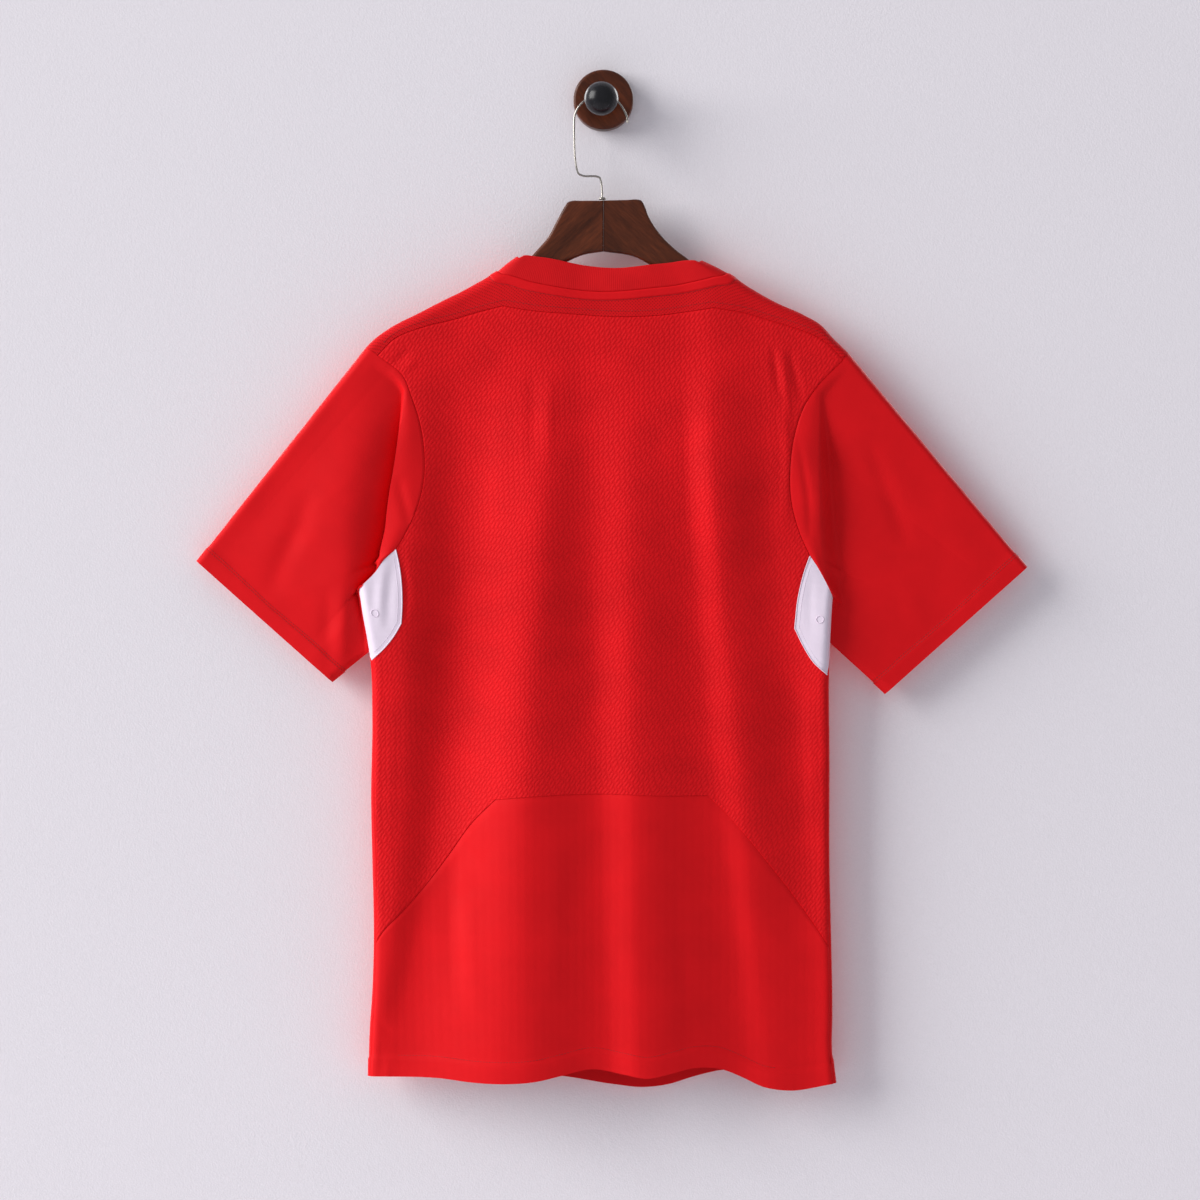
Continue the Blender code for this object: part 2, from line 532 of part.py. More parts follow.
def gusset_edges(side):
    """The four edges of a gusset in q and z: to the sleeve, the back's two, and the front's."""
    left = side < 0
    top = to_q(side, sample(GUSSET_LEFT_TOP if left else GUSSET_RIGHT_TOP, COLS_GUSSET))
    inner = to_q(side, sample(GUSSET_LEFT_INNER if left else GUSSET_RIGHT_INNER, ROWS_GUSSET))
    lower = to_q(side, sample(GUSSET_LEFT_LOWER if left else GUSSET_RIGHT_LOWER, COLS_GUSSET))
    arm_z, arm_q = UNDERARM_LEFT if left else UNDERARM_RIGHT
    tip = top[-1]
    half_way = (arm_q * GUSSET_BOW, (tip[1] + arm_z) / 2)
    outer = sample([tip, half_way, (arm_q, arm_z)], ROWS_GUSSET - 1)
    return top, inner, lower, np.concatenate([outer, lower[-1:]])


def yoke_seam():
    """Seam of yoke and back in x and z."""
    return chain(sample(YOKE_LEFT, COLS_SIDE), sample(YOKE_MIDDLE, COLS_MIDDLE),
                 sample(YOKE_RIGHT, COLS_SIDE))


def lower_seam():
    """Angled seam of the two back panels in x and z."""
    return chain(sample(LOWER_LEFT, COLS_SIDE), sample(LOWER_MIDDLE, COLS_MIDDLE),
                 sample(LOWER_RIGHT, COLS_SIDE))


def yoke_ends():
    """The yoke's two armhole edges in x and v, from the back seam over to the front one."""
    ends = []
    for seam, front, tip in ((YOKE_LEFT[0], YOKE_FRONT_LEFT[0], SHOULDER[0]),
                             (YOKE_RIGHT[-1], YOKE_FRONT_RIGHT[-1], SHOULDER[-1])):
        start = to_v(np.array([seam]))[0]
        ends.append(sample([start, (tip[0], 0.0), front], ROWS_YOKE))
    return ends


def front_edges():
    """Edges of the front in c and z: top with the neck, hem, and both sides."""
    columns = COLS_SIDE * 2 + COLS_MIDDLE
    neck_cells = columns - 2 * COLS_SHOULDER
    left_top = flat_front(sample(YOKE_FRONT_LEFT, COLS_SHOULDER))
    right_top = flat_front(sample(YOKE_FRONT_RIGHT, COLS_SHOULDER))
    x = np.linspace(left_top[-1, 0], right_top[0, 0], neck_cells + 1)
    share = np.linspace(0.0, 1.0, neck_cells + 1)
    bow = NECK_FRONT_DEPTH * (1 - np.abs(2 * share - 1) ** NECK_FRONT_POWER)
    z = left_top[-1, 1] + (right_top[0, 1] - left_top[-1, 1]) * share - bow
    top = chain(left_top, np.stack([x, z], axis=-1), right_top)
    sides = []
    for side, armhole, corner in ((-1, ARMHOLE_FRONT_LEFT, left_top[0]),
                                  (1, ARMHOLE_FRONT_RIGHT, right_top[-1])):
        outer = gusset_edges(side)[3]
        down = np.concatenate([outer[-2:], side_seam(side)[1:]])
        wrapped = np.stack([front_c(side, down[:, 0], down[:, 1]), down[:, 1]], axis=-1)
        arm = sample([tuple(corner)] + armhole + [tuple(wrapped[0])], ROWS_FRONT_ARMHOLE)
        sides.append(chain(arm, wrapped))
    hem = sample([tuple(sides[0][-1])] + FRONT_HEM + [tuple(sides[1][-1])], columns)
    return top, hem, sides[0], sides[1]


def flat_front(points):
    """x and z of points of the front given by x and way down from the shoulder line."""
    z = read(SHOULDER, points[:, 0]) - in_from_edge(points[:, 1], RIDGE_R)
    return np.stack([points[:, 0], z], axis=-1)


# ---------------------------------------------------------------- panels
def panel(name, edges, surface, sign, gaps, finish, fade=3):
    """Patch between four edges on one surface of the tube, as a cloth wall."""
    grid = patch(*edges, fade)
    points, out = on_surface(surface, grid[..., 0], grid[..., 1], sign)
    wall(name, with_gaps(points, gaps), out, CLOTH, finish)
    return points, out


def make_back():
    """The two back panels."""
    seam = lower_seam()
    left_gusset = [to_x(-1, edge) for edge in gusset_edges(-1)]
    right_gusset = [to_x(1, edge) for edge in gusset_edges(1)]
    left_side = to_x(-1, side_seam(-1))
    right_side = to_x(1, side_seam(1))
    left = chain(sample(ARMHOLE_LEFT, ROWS_ARMHOLE), left_gusset[1], left_gusset[2],
                 left_side[:ROWS_SIDE + 1])
    right = chain(sample(ARMHOLE_RIGHT, ROWS_ARMHOLE), right_gusset[1], right_gusset[2],
                  right_side[:ROWS_SIDE + 1])
    seam[0] = left[-1]
    seam[-1] = right[-1]
    panel("back_upper", (yoke_seam(), seam, left, right), back_point, 1.0, "tblr", "red_knit")
    hem = sample([tuple(left_side[-1])] + BACK_HEM[1:-1] + [tuple(right_side[-1])],
                 len(seam) - 1)
    panel("back_lower", (seam, hem, left_side[ROWS_SIDE:], right_side[ROWS_SIDE:]),
          back_point, 1.0, "tlr", "red_knit")


def make_gusset(name, side):
    """White piece under one arm, round the side from the back to the front."""
    top, inner, lower, outer = gusset_edges(side)

    def surface(q, z):
        return side_point(side, q, z)

    panel(name, (top[::-1], lower[::-1], outer, inner), surface, -float(side), "tblr",
          "white_knit")


def make_yoke():
    """Mesh piece over both shoulders, open round the neck."""
    columns = COLS_SIDE * 2 + COLS_MIDDLE
    neck = sample(NECK_BACK, columns - 2 * COLS_SHOULDER)
    top = chain(sample(YOKE_FRONT_LEFT, COLS_SHOULDER), neck,
                sample(YOKE_FRONT_RIGHT, COLS_SHOULDER))
    left, right = yoke_ends()
    panel("yoke", (to_v(yoke_seam()), top, left, right), shoulder_point, 1.0, "tblr",
          "red_mesh", fade=1)
    return neck


def make_front():
    """Plain front, from the yoke's front edges to the hem and a little round both sides."""
    edges = front_edges()
    panel("front_panel", edges, front_point, -1.0, "tlr", "red_knit")
    return edges[0][COLS_SHOULDER:len(edges[0]) - COLS_SHOULDER]


def make_collar(neck_back, neck_front):
    """Ribbed band: each point of the neck seam carried up and in by the band's own table."""
    back_part, back_out = on_surface(shoulder_point, neck_back[:, 0], neck_back[:, 1], 1.0)
    front_part, front_out = on_surface(front_point, neck_front[::-1, 0], neck_front[::-1, 1], -1.0)
    seam = np.concatenate([back_part[:-1], front_part[:-1]])
    seam_out = np.concatenate([back_out[:-1], front_out[:-1]])
    low, high = neck_back[:, 0].min(), neck_back[:, 0].max()
    share = (seam[:, 0] - low) / (high - low)
    front_side = np.concatenate([neck_back[:-1, 1] > 0, np.ones(len(neck_front) - 1, bool)])
    place_round = np.where(front_side, 2.0 - share, share)
    band = np.asarray(COLLAR_BAND)
    way = spline(band[:, 0], band[:, 1:], place_round)
    t = np.linspace(0.0, 1.0, ROWS_COLLAR + 1)[:, None, None]
    centre = seam.mean(axis=0)
    outward = seam - centre
    outward[:, 2] = 0.0
    outward /= np.linalg.norm(outward, axis=-1, keepdims=True)
    grid = seam + way * t + outward * COLLAR_BOW * np.sin(math.pi * t)
    start = way - np.sum(way * seam_out, axis=-1, keepdims=True) * seam_out
    grid[0] = grid[0] + start / np.linalg.norm(start, axis=-1, keepdims=True) * GAP / 2
    across = np.roll(grid, -1, axis=1) - np.roll(grid, 1, axis=1)
    up = np.gradient(grid, axis=0)
    out = np.cross(across, up)
    out /= np.linalg.norm(out, axis=-1, keepdims=True)
    out[0] = seam_out
    wall("collar", grid, out, RIB, "red_rib", ring=True)


# ---------------------------------------------------------------- sleeves
def armhole_ring(side):
    """Points round one armhole, their outward directions, and their places -1 to 5."""
    end = yoke_ends()[0 if side < 0 else 1][::-1]
    top, _, _, outer = gusset_edges(side)
    armhole = sample(ARMHOLE_LEFT if side < 0 else ARMHOLE_RIGHT, ROWS_ARMHOLE)
    front_side = front_edges()[2 if side < 0 else 3][:ROWS_FRONT_ARMHOLE + 1][::-1]
    v = end[:, 1]
    parts = [
        (shoulder_point, end, 1.0, np.where(v > 0, -v / v[0], v / v[-1])),
        (back_point, armhole, 1.0, np.linspace(1.0, 2.0, ROWS_ARMHOLE + 1)),
        (lambda q, z: side_point(side, q, z), top, -float(side),
         np.linspace(2.0, 3.0, COLS_GUSSET + 1)),
        (lambda q, z: side_point(side, q, z), outer[:-1], -float(side),
         np.linspace(3.0, 4.0, ROWS_GUSSET)),
        (front_point, front_side, -1.0, np.linspace(4.0, 5.0, ROWS_FRONT_ARMHOLE + 1)),
    ]
    points, outs, places = [], [], []
    for surface, ways, sign, where in parts:
        at, out = on_surface(surface, ways[:, 0], ways[:, 1], sign)
        points.append(at[:-1])
        outs.append(out[:-1])
        places.append(where[:-1])
    return np.concatenate(points), np.concatenate(outs), np.concatenate(places)


def cuff_ring(sleeve, place):
    """Points of the open cuff: a flat ring, back from 0 to 1 and front from 1 to 2."""
    rows = np.asarray(CUFF_PLACE)
    way = spline(rows[:, 0], rows[:, 1], place)[..., 0]
    share = np.where(way > 1.0, 2.0 - way, np.abs(way))
    front = (way > 1.0) | (way < 0.0)
    top = np.asarray(sleeve["cuff_top"])
    low = np.asarray(sleeve["cuff_low"])
    ring = top + (low - top) * share[:, None]
    flat = np.linalg.norm(low - top) * np.minimum(share, 1.0 - share)
    depth = sleeve["cuff_half"] * roundness(flat, CUFF_R)
    ring[:, 1] += np.where(front, depth, -depth)
    return ring, front


def make_sleeve(name, sleeve):
    """Open tube from the armhole to the cuff.

    Every row runs straight from a point of the armhole to one of the cuff, seen
    from the back. Its depth goes from the seam's to the cuff's. On the back a
    strip beside the armhole ends in a step at the fold line, behind which the
    sleeve lies deeper, rises to a crest and falls to the cuff.
    """
    side = sleeve["side"]
    seam, seam_out, place = armhole_ring(side)
    cuff, front = cuff_ring(sleeve, place)
    rows = np.asarray(sleeve["rows"])
    fold, drop, rise, reach = spline(rows[:, 0], rows[:, 1:], place).T
    fold = np.clip(fold, 0.0, 1.0)
    length = np.linalg.norm((cuff - seam)[:, [0, 2]], axis=-1)
    strip, edge = strip_width(sleeve, seam, cuff, length)
    strip_cells, step_cells, rest_cells = COLS_SLEEVE
    way = np.concatenate([
        strip[:, None] * np.linspace(0.0, 1.0, strip_cells + 1)[None, :-1],
        strip[:, None] + edge[:, None] * np.linspace(0.0, 1.0, step_cells + 1)[None, :-1],
        strip[:, None] + edge[:, None] + (length - strip - edge)[:, None]
        * np.linspace(0.0, 1.0, rest_cells + 1)[None, :] ** REST_POWER], axis=1)
    u = way / length[:, None]
    grid = seam[:, None, :] + (cuff - seam)[:, None, :] * u[..., None]
    depth_seam = seam[:, 1][:, None]
    depth_cuff = cuff[:, 1][:, None]
    settle = smooth(way / FRONT_SETTLE)
    plain_front = depth_seam + (depth_cuff - depth_seam) * (FRONT_SHARE * settle + (1.0 - FRONT_SHARE) * u)
    plain_back = depth_seam + (depth_cuff - depth_seam) * u
    beyond = way - strip[:, None] - edge[:, None]
    valley = depth_seam + drop[:, None]
    crest = valley - rise[:, None]
    to_crest = valley + (crest - valley) * smooth(beyond / reach[:, None])
    rest = np.clip((beyond - reach[:, None]) / (length - strip - edge - reach)[:, None], 0, 1)
    eased = np.sqrt(rest ** 2 + CREST_SOFT ** 2) - CREST_SOFT
    eased /= math.sqrt(1.0 + CREST_SOFT ** 2) - CREST_SOFT
    behind = to_crest + (depth_cuff - crest) * eased
    proud = STRIP_PROUD * np.sin(math.pi * np.clip(way / strip[:, None], 0, 1))
    over = depth_seam - proud * smooth(strip / PROUD_FROM)[:, None]
    step = smooth((way - strip[:, None]) / edge[:, None])
    folded = over + (behind - over) * step
    back = plain_back + (folded - plain_back) * fold[:, None]
    grid[..., 1] = np.where(front[:, None], plain_front, back)
    across = np.roll(grid, -1, axis=0) - np.roll(grid, 1, axis=0)
    along = np.gradient(grid, axis=1)
    out = np.cross(across, along) * side
    out /= np.linalg.norm(out, axis=-1, keepdims=True)
    shared = (place < OWN_FROM) | (place > OWN_TO)
    out[shared, 0] = seam_out[shared]
    way_out = grid[:, 1] - grid[:, 0]
    way_out[shared] -= (np.sum(way_out * seam_out, axis=-1, keepdims=True) * seam_out)[shared]
    grid[:, 0] += way_out / np.linalg.norm(way_out, axis=-1, keepdims=True) * GAP / 2
    wall(name, grid.transpose(1, 0, 2), out.transpose(1, 0, 2), CLOTH, "red_knit", ring=True)


def strip_width(sleeve, seam, cuff, length):
    """Way along each row to the fold line, at least LEAST_STRIP off the seam, and over its step."""
    tangent = (np.roll(seam, -1, axis=0) - np.roll(seam, 1, axis=0))[:, [0, 2]]
    run = (cuff - seam)[:, [0, 2]]
    turn = np.abs(tangent[:, 0] * run[:, 1] - tangent[:, 1] * run[:, 0])
    turn /= np.linalg.norm(tangent, axis=-1) * length
    slant = 1.0 / np.clip(turn, LEAST_TURN, 1.0)
    steps = np.linspace(0.0, 1.0, FOLD_SEARCH)
    x = seam[:, 0, None] + (cuff - seam)[:, 0, None] * steps
    z = seam[:, 2, None] + (cuff - seam)[:, 2, None] * steps
    past = sleeve["side"] * (x - read(sleeve["fold"], z)) > 0
    first = np.argmax(past, axis=1) / (len(steps) - 1.0)
    return np.maximum(first * length, LEAST_STRIP * slant), FOLD_EDGE * slant


# ---------------------------------------------------------------- hanger and peg
def make_turned(name, profile, finish, at, steps):
    """Turned shape: a profile of radius and depth from the wall, screwed round a Y axis."""
    mesh = bpy.data.meshes.new(name)
    points = [(radius * MM, -depth * MM, 0.0) for radius, depth in profile]
    edges = [(i, i + 1) for i in range(len(points) - 1)]
    mesh.from_pydata(points, edges, [])
    obj = placed(bpy.data.objects.new(name, mesh), finish)
    obj.location = [value * MM for value in at]
    screw = obj.modifiers.new("turn", "SCREW")
    screw.axis = "Y"
    screw.steps = steps
    screw.render_steps = steps
    screw.use_merge_vertices = True
    screw.merge_threshold = 0.00001
    screw.use_smooth_shade = True
    return obj


def rounded_profile(radius, front, rounding, cells):
    """Half outline of a disc from its back centre to its front centre."""
    turns = [math.pi / 2 * i / cells for i in range(cells + 1)]
    corner = [(radius - rounding + rounding * math.cos(a), front - rounding + rounding * math.sin(a))
              for a in turns]
    return [(0.0, 0.0), (radius, 0.0)] + corner + [(0.0, front)]


def make_peg():
    """Wooden disc on the wall, a short post and a glossy ball."""
    make_turned("peg_disc", rounded_profile(DISC_R, DISC_DEPTH, DISC_ROUND, LIP_CELLS),
                "walnut", (0.0, 0.0, 0.0), TURN_STEPS["disc"])
    flat = math.sqrt(BALL_R ** 2 - BALL_FLAT_R ** 2)
    post_end = -BALL_Y - flat - GAP
    make_turned("peg_post",
                [(0.0, 0.0), (POST_R, 0.0), (POST_R, post_end - DISC_DEPTH - GAP),
                 (0.0, post_end - DISC_DEPTH - GAP)], "black_gloss",
                (BALL_X, -DISC_DEPTH - GAP, BALL_Z), TURN_STEPS["post"])
    start = math.asin(BALL_FLAT_R / BALL_R)
    turns = [start + (math.pi - start) * i / BALL_CELLS for i in range(BALL_CELLS)]
    ball = [(0.0, -flat)] + [(BALL_R * math.sin(a), -BALL_R * math.cos(a)) for a in turns]
    make_turned("peg_ball", ball + [(0.0, BALL_R)], "black_gloss", (BALL_X, BALL_Y, BALL_Z),
                TURN_STEPS["ball"])


def make_hanger_half(name, outline):
    """Flat outline with rounded edges, half of the wooden hanger."""
    curve = bpy.data.curves.new(name, "CURVE")
    curve.dimensions = "2D"
    curve.fill_mode = "BOTH"
    curve.extrude = HANGER_THICK / 2 * MM
    line = curve.splines.new("POLY")
    line.points.add(len(outline) - 1)
    for point, (x, z) in zip(line.points, outline):
        point.co = (x * MM, z * MM, 0.0, 1.0)
    line.use_cyclic_u = True
    obj = placed(bpy.data.objects.new(name, curve), "walnut")
    obj.rotation_euler = (math.pi / 2, 0.0, 0.0)
    obj.location = (0.0, HANG_Y * MM, 0.0)
    weld = obj.modifiers.new("weld", "WELD")
    weld.merge_threshold = 0.00001
    bevel = obj.modifiers.new("round", "BEVEL")
    bevel.width = HANGER_ROUND * MM
    bevel.segments = HANGER_BEVEL_STEPS
    bevel.limit_method = "ANGLE"
    bevel.angle_limit = math.radians(60)


def make_wire(name, route, radius, finish):
    """Bent wire through a route of x and z in the hanger's plane."""
    points = sample(route, HOOK_CELLS)
    curve = bpy.data.curves.new(name, "CURVE")
    curve.dimensions = "3D"
    curve.bevel_depth = radius * MM
    curve.bevel_resolution = 2
    curve.use_fill_caps = True
    line = curve.splines.new("POLY")
    line.points.add(len(points) - 1)
    for point, (x, z) in zip(line.points, points):
        point.co = (x * MM, HANG_Y * MM, z * MM, 1.0)
    placed(bpy.data.objects.new(name, curve), finish)


def make_hanger():
    """Two wooden halves, the bent hook and the small metal collar it stands in."""
    make_hanger_half("hanger_left", HANGER_LEFT)
    make_hanger_half("hanger_right", HANGER_RIGHT)
    make_wire("hanger_hook", HOOK_ROUTE, HOOK_WIRE_R, "nickel")
    bead = (FERRULE_R - FERRULE_BORE) / 2
    bpy.ops.mesh.primitive_torus_add(
        location=(HOOK_ROUTE[-1][0] * MM, HANG_Y * MM, (HANGER_TOP_Z + 2 * GAP + bead) * MM),
        major_radius=(FERRULE_BORE + bead) * MM, minor_radius=bead * MM,
        major_segments=BEAD_STEPS[0], minor_segments=BEAD_STEPS[1])
    ferrule = bpy.context.active_object
    ferrule.name = "hanger_ferrule"
    ferrule.data.name = "hanger_ferrule"
    for collection in list(ferrule.users_collection):
        collection.objects.unlink(ferrule)
    placed(ferrule, "nickel")


# ---------------------------------------------------------------- the whole
def clear_scene():
    """Empty the scene and make the object's collection and its finishes."""
    for obj in list(bpy.data.objects):
        bpy.data.objects.remove(obj)
    collection = bpy.data.collections.new(COLLECTION)
    bpy.context.scene.collection.children.link(collection)
    for name, (colour, roughness, metallic) in FINISHES.items():
        material = bpy.data.materials.new(name)
        material.use_nodes = True
        shader = material.node_tree.nodes["Principled BSDF"]
        shader.inputs["Base Color"].default_value = (*colour, 1.0)
        shader.inputs["Roughness"].default_value = roughness
        shader.inputs["Metallic"].default_value = metallic
        material.diffuse_color = (*colour, 1.0)


def main():
    clear_scene()
    make_peg()
    make_hanger()
    neck_back = make_yoke()
    neck_front = make_front()
    make_collar(neck_back, neck_front)
    make_back()
    make_gusset("gusset_left", -1)
    make_gusset("gusset_right", 1)
    make_sleeve("sleeve_left", SLEEVE_LEFT)
    make_sleeve("sleeve_right", SLEEVE_RIGHT)


main()
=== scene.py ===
"""Football jersey on a wooden hanger, hung from a round wall peg: its detailed pieces and stage.

The wall is the plane y = 0, the jersey's back looks along -Y, and the origin is the centre of
the peg disc's flat back. The tables are in millimetres, and MM turns them into metres.
"""

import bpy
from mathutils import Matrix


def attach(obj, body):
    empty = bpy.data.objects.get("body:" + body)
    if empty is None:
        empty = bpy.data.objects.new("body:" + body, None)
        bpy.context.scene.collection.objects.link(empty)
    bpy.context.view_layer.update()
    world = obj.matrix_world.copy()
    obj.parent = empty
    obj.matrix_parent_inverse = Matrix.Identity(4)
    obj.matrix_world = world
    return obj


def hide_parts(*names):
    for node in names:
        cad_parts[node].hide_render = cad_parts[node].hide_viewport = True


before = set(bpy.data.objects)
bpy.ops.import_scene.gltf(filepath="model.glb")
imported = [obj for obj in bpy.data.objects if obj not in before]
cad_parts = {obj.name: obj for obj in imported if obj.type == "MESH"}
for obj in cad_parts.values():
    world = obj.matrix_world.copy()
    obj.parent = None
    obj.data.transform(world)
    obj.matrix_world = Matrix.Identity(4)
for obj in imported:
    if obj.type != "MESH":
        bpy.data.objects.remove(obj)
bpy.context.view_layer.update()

import math

import bmesh
import bpy
import numpy as np
from bpy.props import FloatProperty, FloatVectorProperty, PointerProperty
from bpy.types import Operator, Panel, PropertyGroup
from mathutils import Vector

bl_info = {
    "name": "Hanging football jersey",
    "version": (1, 0, 0),
    "blender": (4, 5, 0),
    "location": "3D View > Sidebar > Jersey",
    "description": "Makes a football jersey on a hanger and wall peg, piece by piece",
    "category": "Object",
}

MM = 0.001

# ---- sizes of the body, mm
HANG_Y = -25.0         # plane of the hanger, the hook and the shoulder line
RIDGE_R = 9.0          # rounding of the cloth over the hanger's arm
SIDE_R = 7.0           # rounding of the cloth down each side
EDGE_DEPTH = 9.0       # half depth of the tube beside its rounded edges
BACK_DEPTH = 12.0      # half depth of the back at the middle, folds not counted
FRONT_DEPTH = 13.0     # the same for the front
DEPTH_DROP = 170.0     # the tube reaches its full depth this far below the shoulder
DEPTH_EDGE = 120.0     # and this far in from the side
FRONT_FOLDS = -0.3     # the front's folds, as a share of the back's, mirrored
UNDERARM_Z = -455.0    # the sides come forward round this height
UNDERARM_REACH = 75.0  # most of it within this height above and below
UNDERARM_FORWARD = 8.0
UNDERARM_EDGE = 15.0   # in full up to this far in from the side
UNDERARM_FADE = 80.0   # and gone this much further in
UNDERARM_BOW = 0.8     # a gusset's outer edge is this share of its way round at half height
SLOPE_STEP = 0.05      # step over which a surface's slopes are taken

# Shoulder line: x, z
SHOULDER = [
    (-211.2, -221.9), (-204.8, -215.3), (-189.1, -203.7), (-163.6, -190.5), (-142.0, -179.3),
    (-125.8, -171.3), (-105.1, -159.9), (-93.6, -153.3), (-73.4, -147.5), (0.0, -142.0),
    (86.0, -147.5), (110.5, -155.5), (129.0, -167.6), (152.8, -181.0), (177.2, -192.0),
    (195.4, -203.6), (200.3, -209.2), (217.6, -226.4)]

# Side outlines from the hem up; above the underarm they are construction lines: z, x
LEFT_SIDE = [
    (-866.0, -207.8), (-823.0, -206.7), (-791.0, -204.5), (-748.0, -203.2), (-673.0, -204.5),
    (-620.0, -205.6), (-550.0, -204.4), (-497.0, -206.0), (-482.0, -208.0), (-462.0, -211.6),
    (-434.0, -216.2), (-400.0, -221.0), (-330.0, -228.0), (-230.0, -235.0), (-140.0, -240.0)]
RIGHT_SIDE = [
    (-874.0, 205.8), (-843.0, 202.4), (-807.0, 202.7), (-749.0, 201.7), (-679.0, 200.1),
    (-583.0, 200.1), (-501.0, 199.6), (-467.0, 200.9), (-442.0, 202.6), (-400.0, 210.0),
    (-330.0, 222.0), (-230.0, 236.0), (-140.0, 242.0)]

# Folds of the back, a valley or crest line a row, with its x and height at each level. The
# worn cloth folds deeper than its plain solid.
FOLD_LEVELS = (-875.0, -735.0, -603.0, -462.0, -338.0, -225.0)
FOLD_LINES = [
    # x at the six levels                              height at the six levels
    ((-208, -204, -206, -214, -230, -235), (0.0, 0.0, 0.0, 0.0, 0.0, 0.0)),      # left edge
    ((-202, -188, -180, -176, -170, -170), (0.5, 1.5, 0.0, 2.5, 1.0, 1.0)),      # side crest
    ((-192, -163, -143, -131, -128, -126), (3.0, -3.5, -8.0, -7.5, -6.5, 0.0)),  # left valley
    ((-69, -68, -66, -60, -50, -42), (23.5, 19.5, 15.0, 11.5, 12.0, 2.0)),       # main crest
    ((4, -1, -6, -10, -14, -18), (12.0, 9.5, 6.5, 1.5, 7.5, 1.5)),               # centre valley
    ((32, 29, 28, 25, 27, 28), (17.0, 15.5, 12.5, 8.5, 13.0, 2.5)),              # centre crest
    ((126, 114, 96, 82, 71, 67), (-1.0, 0.0, 1.5, -1.0, 9.5, 2.0)),              # right valley
    ((151, 134, 122, 108, 97, 96), (1.0, 3.0, 6.0, 5.5, 17.0, 3.5)),             # right crest
    ((188, 182, 173, 160, 148, 144), (-1.0, -1.0, -4.0, -6.0, 7.0, 1.0)),        # outer valley
    ((206, 202, 201, 202, 222, 238), (0.0, 0.0, 0.0, 0.0, 0.0, 0.0)),            # right edge
]

CREASE_CELLS = 12      # straight runs that a crease's line is made of
CREASE_TAPER = 0.7     # power of the half sine that fades a crease at its ends

# Small creases of the back: points x, z along each, its width, and its height
CREASES = [
    ([(-63, -238), (-62, -280), (-63, -325)], 6.0, -0.9),
    ([(-47, -240), (-48, -285), (-49, -330)], 5.0, 0.7),
    ([(149, -218), (151, -236), (155, -262)], 2.6, -1.5),
    ([(164, -222), (168, -242), (175, -270)], 2.8, -1.6),
    ([(157, -224), (160, -248), (164, -285)], 3.0, 1.2),
    ([(158, -270), (162, -310), (160, -378)], 5.0, 1.5),
    ([(-188, -238), (-180, -231), (-170, -222)], 2.6, -1.0),
    ([(-178, -243), (-172, -238), (-165, -231)], 2.6, 0.9),
    ([(-131, -665), (-134, -730), (-131, -800)], 9.0, -1.3),
    ([(-119, -680), (-118, -740), (-112, -815)], 8.0, 0.7),
    ([(-205, -812), (-198, -817), (-188, -826)], 3.5, -0.7),
    ([(-204, -790), (-196, -797), (-186, -802)], 4.0, 0.5),
    ([(-86, -262), (-92, -330), (-96, -400)], 12.0, 0.7),
    ([(60, -262), (66, -330), (70, -420)], 14.0, 0.6),
    ([(-40, -640), (-42, -720), (-45, -800)], 10.0, 0.6),
    ([(62, -690), (70, -760), (74, -840)], 10.0, -0.7),
    ([(180, -520), (184, -580), (182, -660)], 6.0, 0.8),
    ([(-186, -520), (-188, -600), (-190, -700)], 6.0, 0.7),
    ([(-181, -396), (-174, -427), (-173, -445), (-176, -466)], 2.6, -1.2),
    ([(-184, -406), (-189, -436), (-190, -472)], 5.0, -1.3),
    ([(-193, -412), (-195, -436), (-197, -470)], 4.0, 0.6),
    ([(-202, -424), (-203, -440), (-204, -456)], 4.0, -0.5),
    ([(183, -402), (174, -430), (166, -462)], 2.6, -0.6),
    ([(184, -418), (182, -445), (184, -478)], 4.0, -0.6),
]

# Seams of the back, from the left side to the right: x, z
YOKE_LEFT = [
    (-199.4, -228.5), (-186.1, -214.8), (-158.8, -203.2), (-134.1, -197.2), (-109.6, -190.0),
    (-88.9, -184.6)]
YOKE_MIDDLE = [
    (-88.9, -184.6), (-63.7, -188.6), (-27.8, -191.6), (15.1, -194.2), (51.0, -192.7), (78.0, -189.2),
    (97.3, -186.4)]
YOKE_RIGHT = [
    (97.3, -186.4), (126.7, -191.6), (151.9, -199.1), (172.1, -205.2), (197.5, -217.3),
    (212.1, -232.3)]
ARMHOLE_LEFT = [
    (-199.4, -228.5), (-176.4, -247.9), (-169.9, -264.0), (-164.0, -280.5), (-158.4, -308.3),
    (-158.4, -338.5), (-164.0, -362.0), (-175.5, -387.0), (-183.1, -399.6)]
ARMHOLE_RIGHT = [
    (212.1, -232.3), (187.4, -258.0), (177.2, -273.3), (169.7, -293.6), (164.4, -327.5),
    (165.1, -355.1), (173.0, -385.2), (182.2, -405.4)]
LOWER_LEFT = [
    (-201.5, -747.7), (-195.0, -737.5), (-179.0, -721.0), (-155.2, -693.6), (-135.9, -668.0),
    (-117.0, -641.5), (-95.8, -620.1)]
LOWER_MIDDLE = [
    (-95.8, -620.1), (-60.0, -617.0), (-27.1, -615.3), (14.6, -615.3), (50.0, -616.5), (92.0, -616.5)]
LOWER_RIGHT = [
    (92.0, -616.5), (104.0, -627.5), (121.8, -647.2), (144.1, -674.4), (166.6, -703.2),
    (188.8, -734.5), (199.9, -751.3)]
BACK_HEM = [
    (-205.6, -864.6), (-180.0, -864.4), (-145.6, -864.8), (-113.4, -867.9), (-87.8, -868.6),
    (-59.3, -866.5), (-36.7, -861.6), (-11.8, -856.4), (19.0, -861.2), (38.4, -864.4), (57.7, -860.9),
    (80.2, -856.0), (102.6, -857.2), (121.8, -864.8), (141.0, -873.5), (163.3, -876.9),
    (203.8, -871.2)]

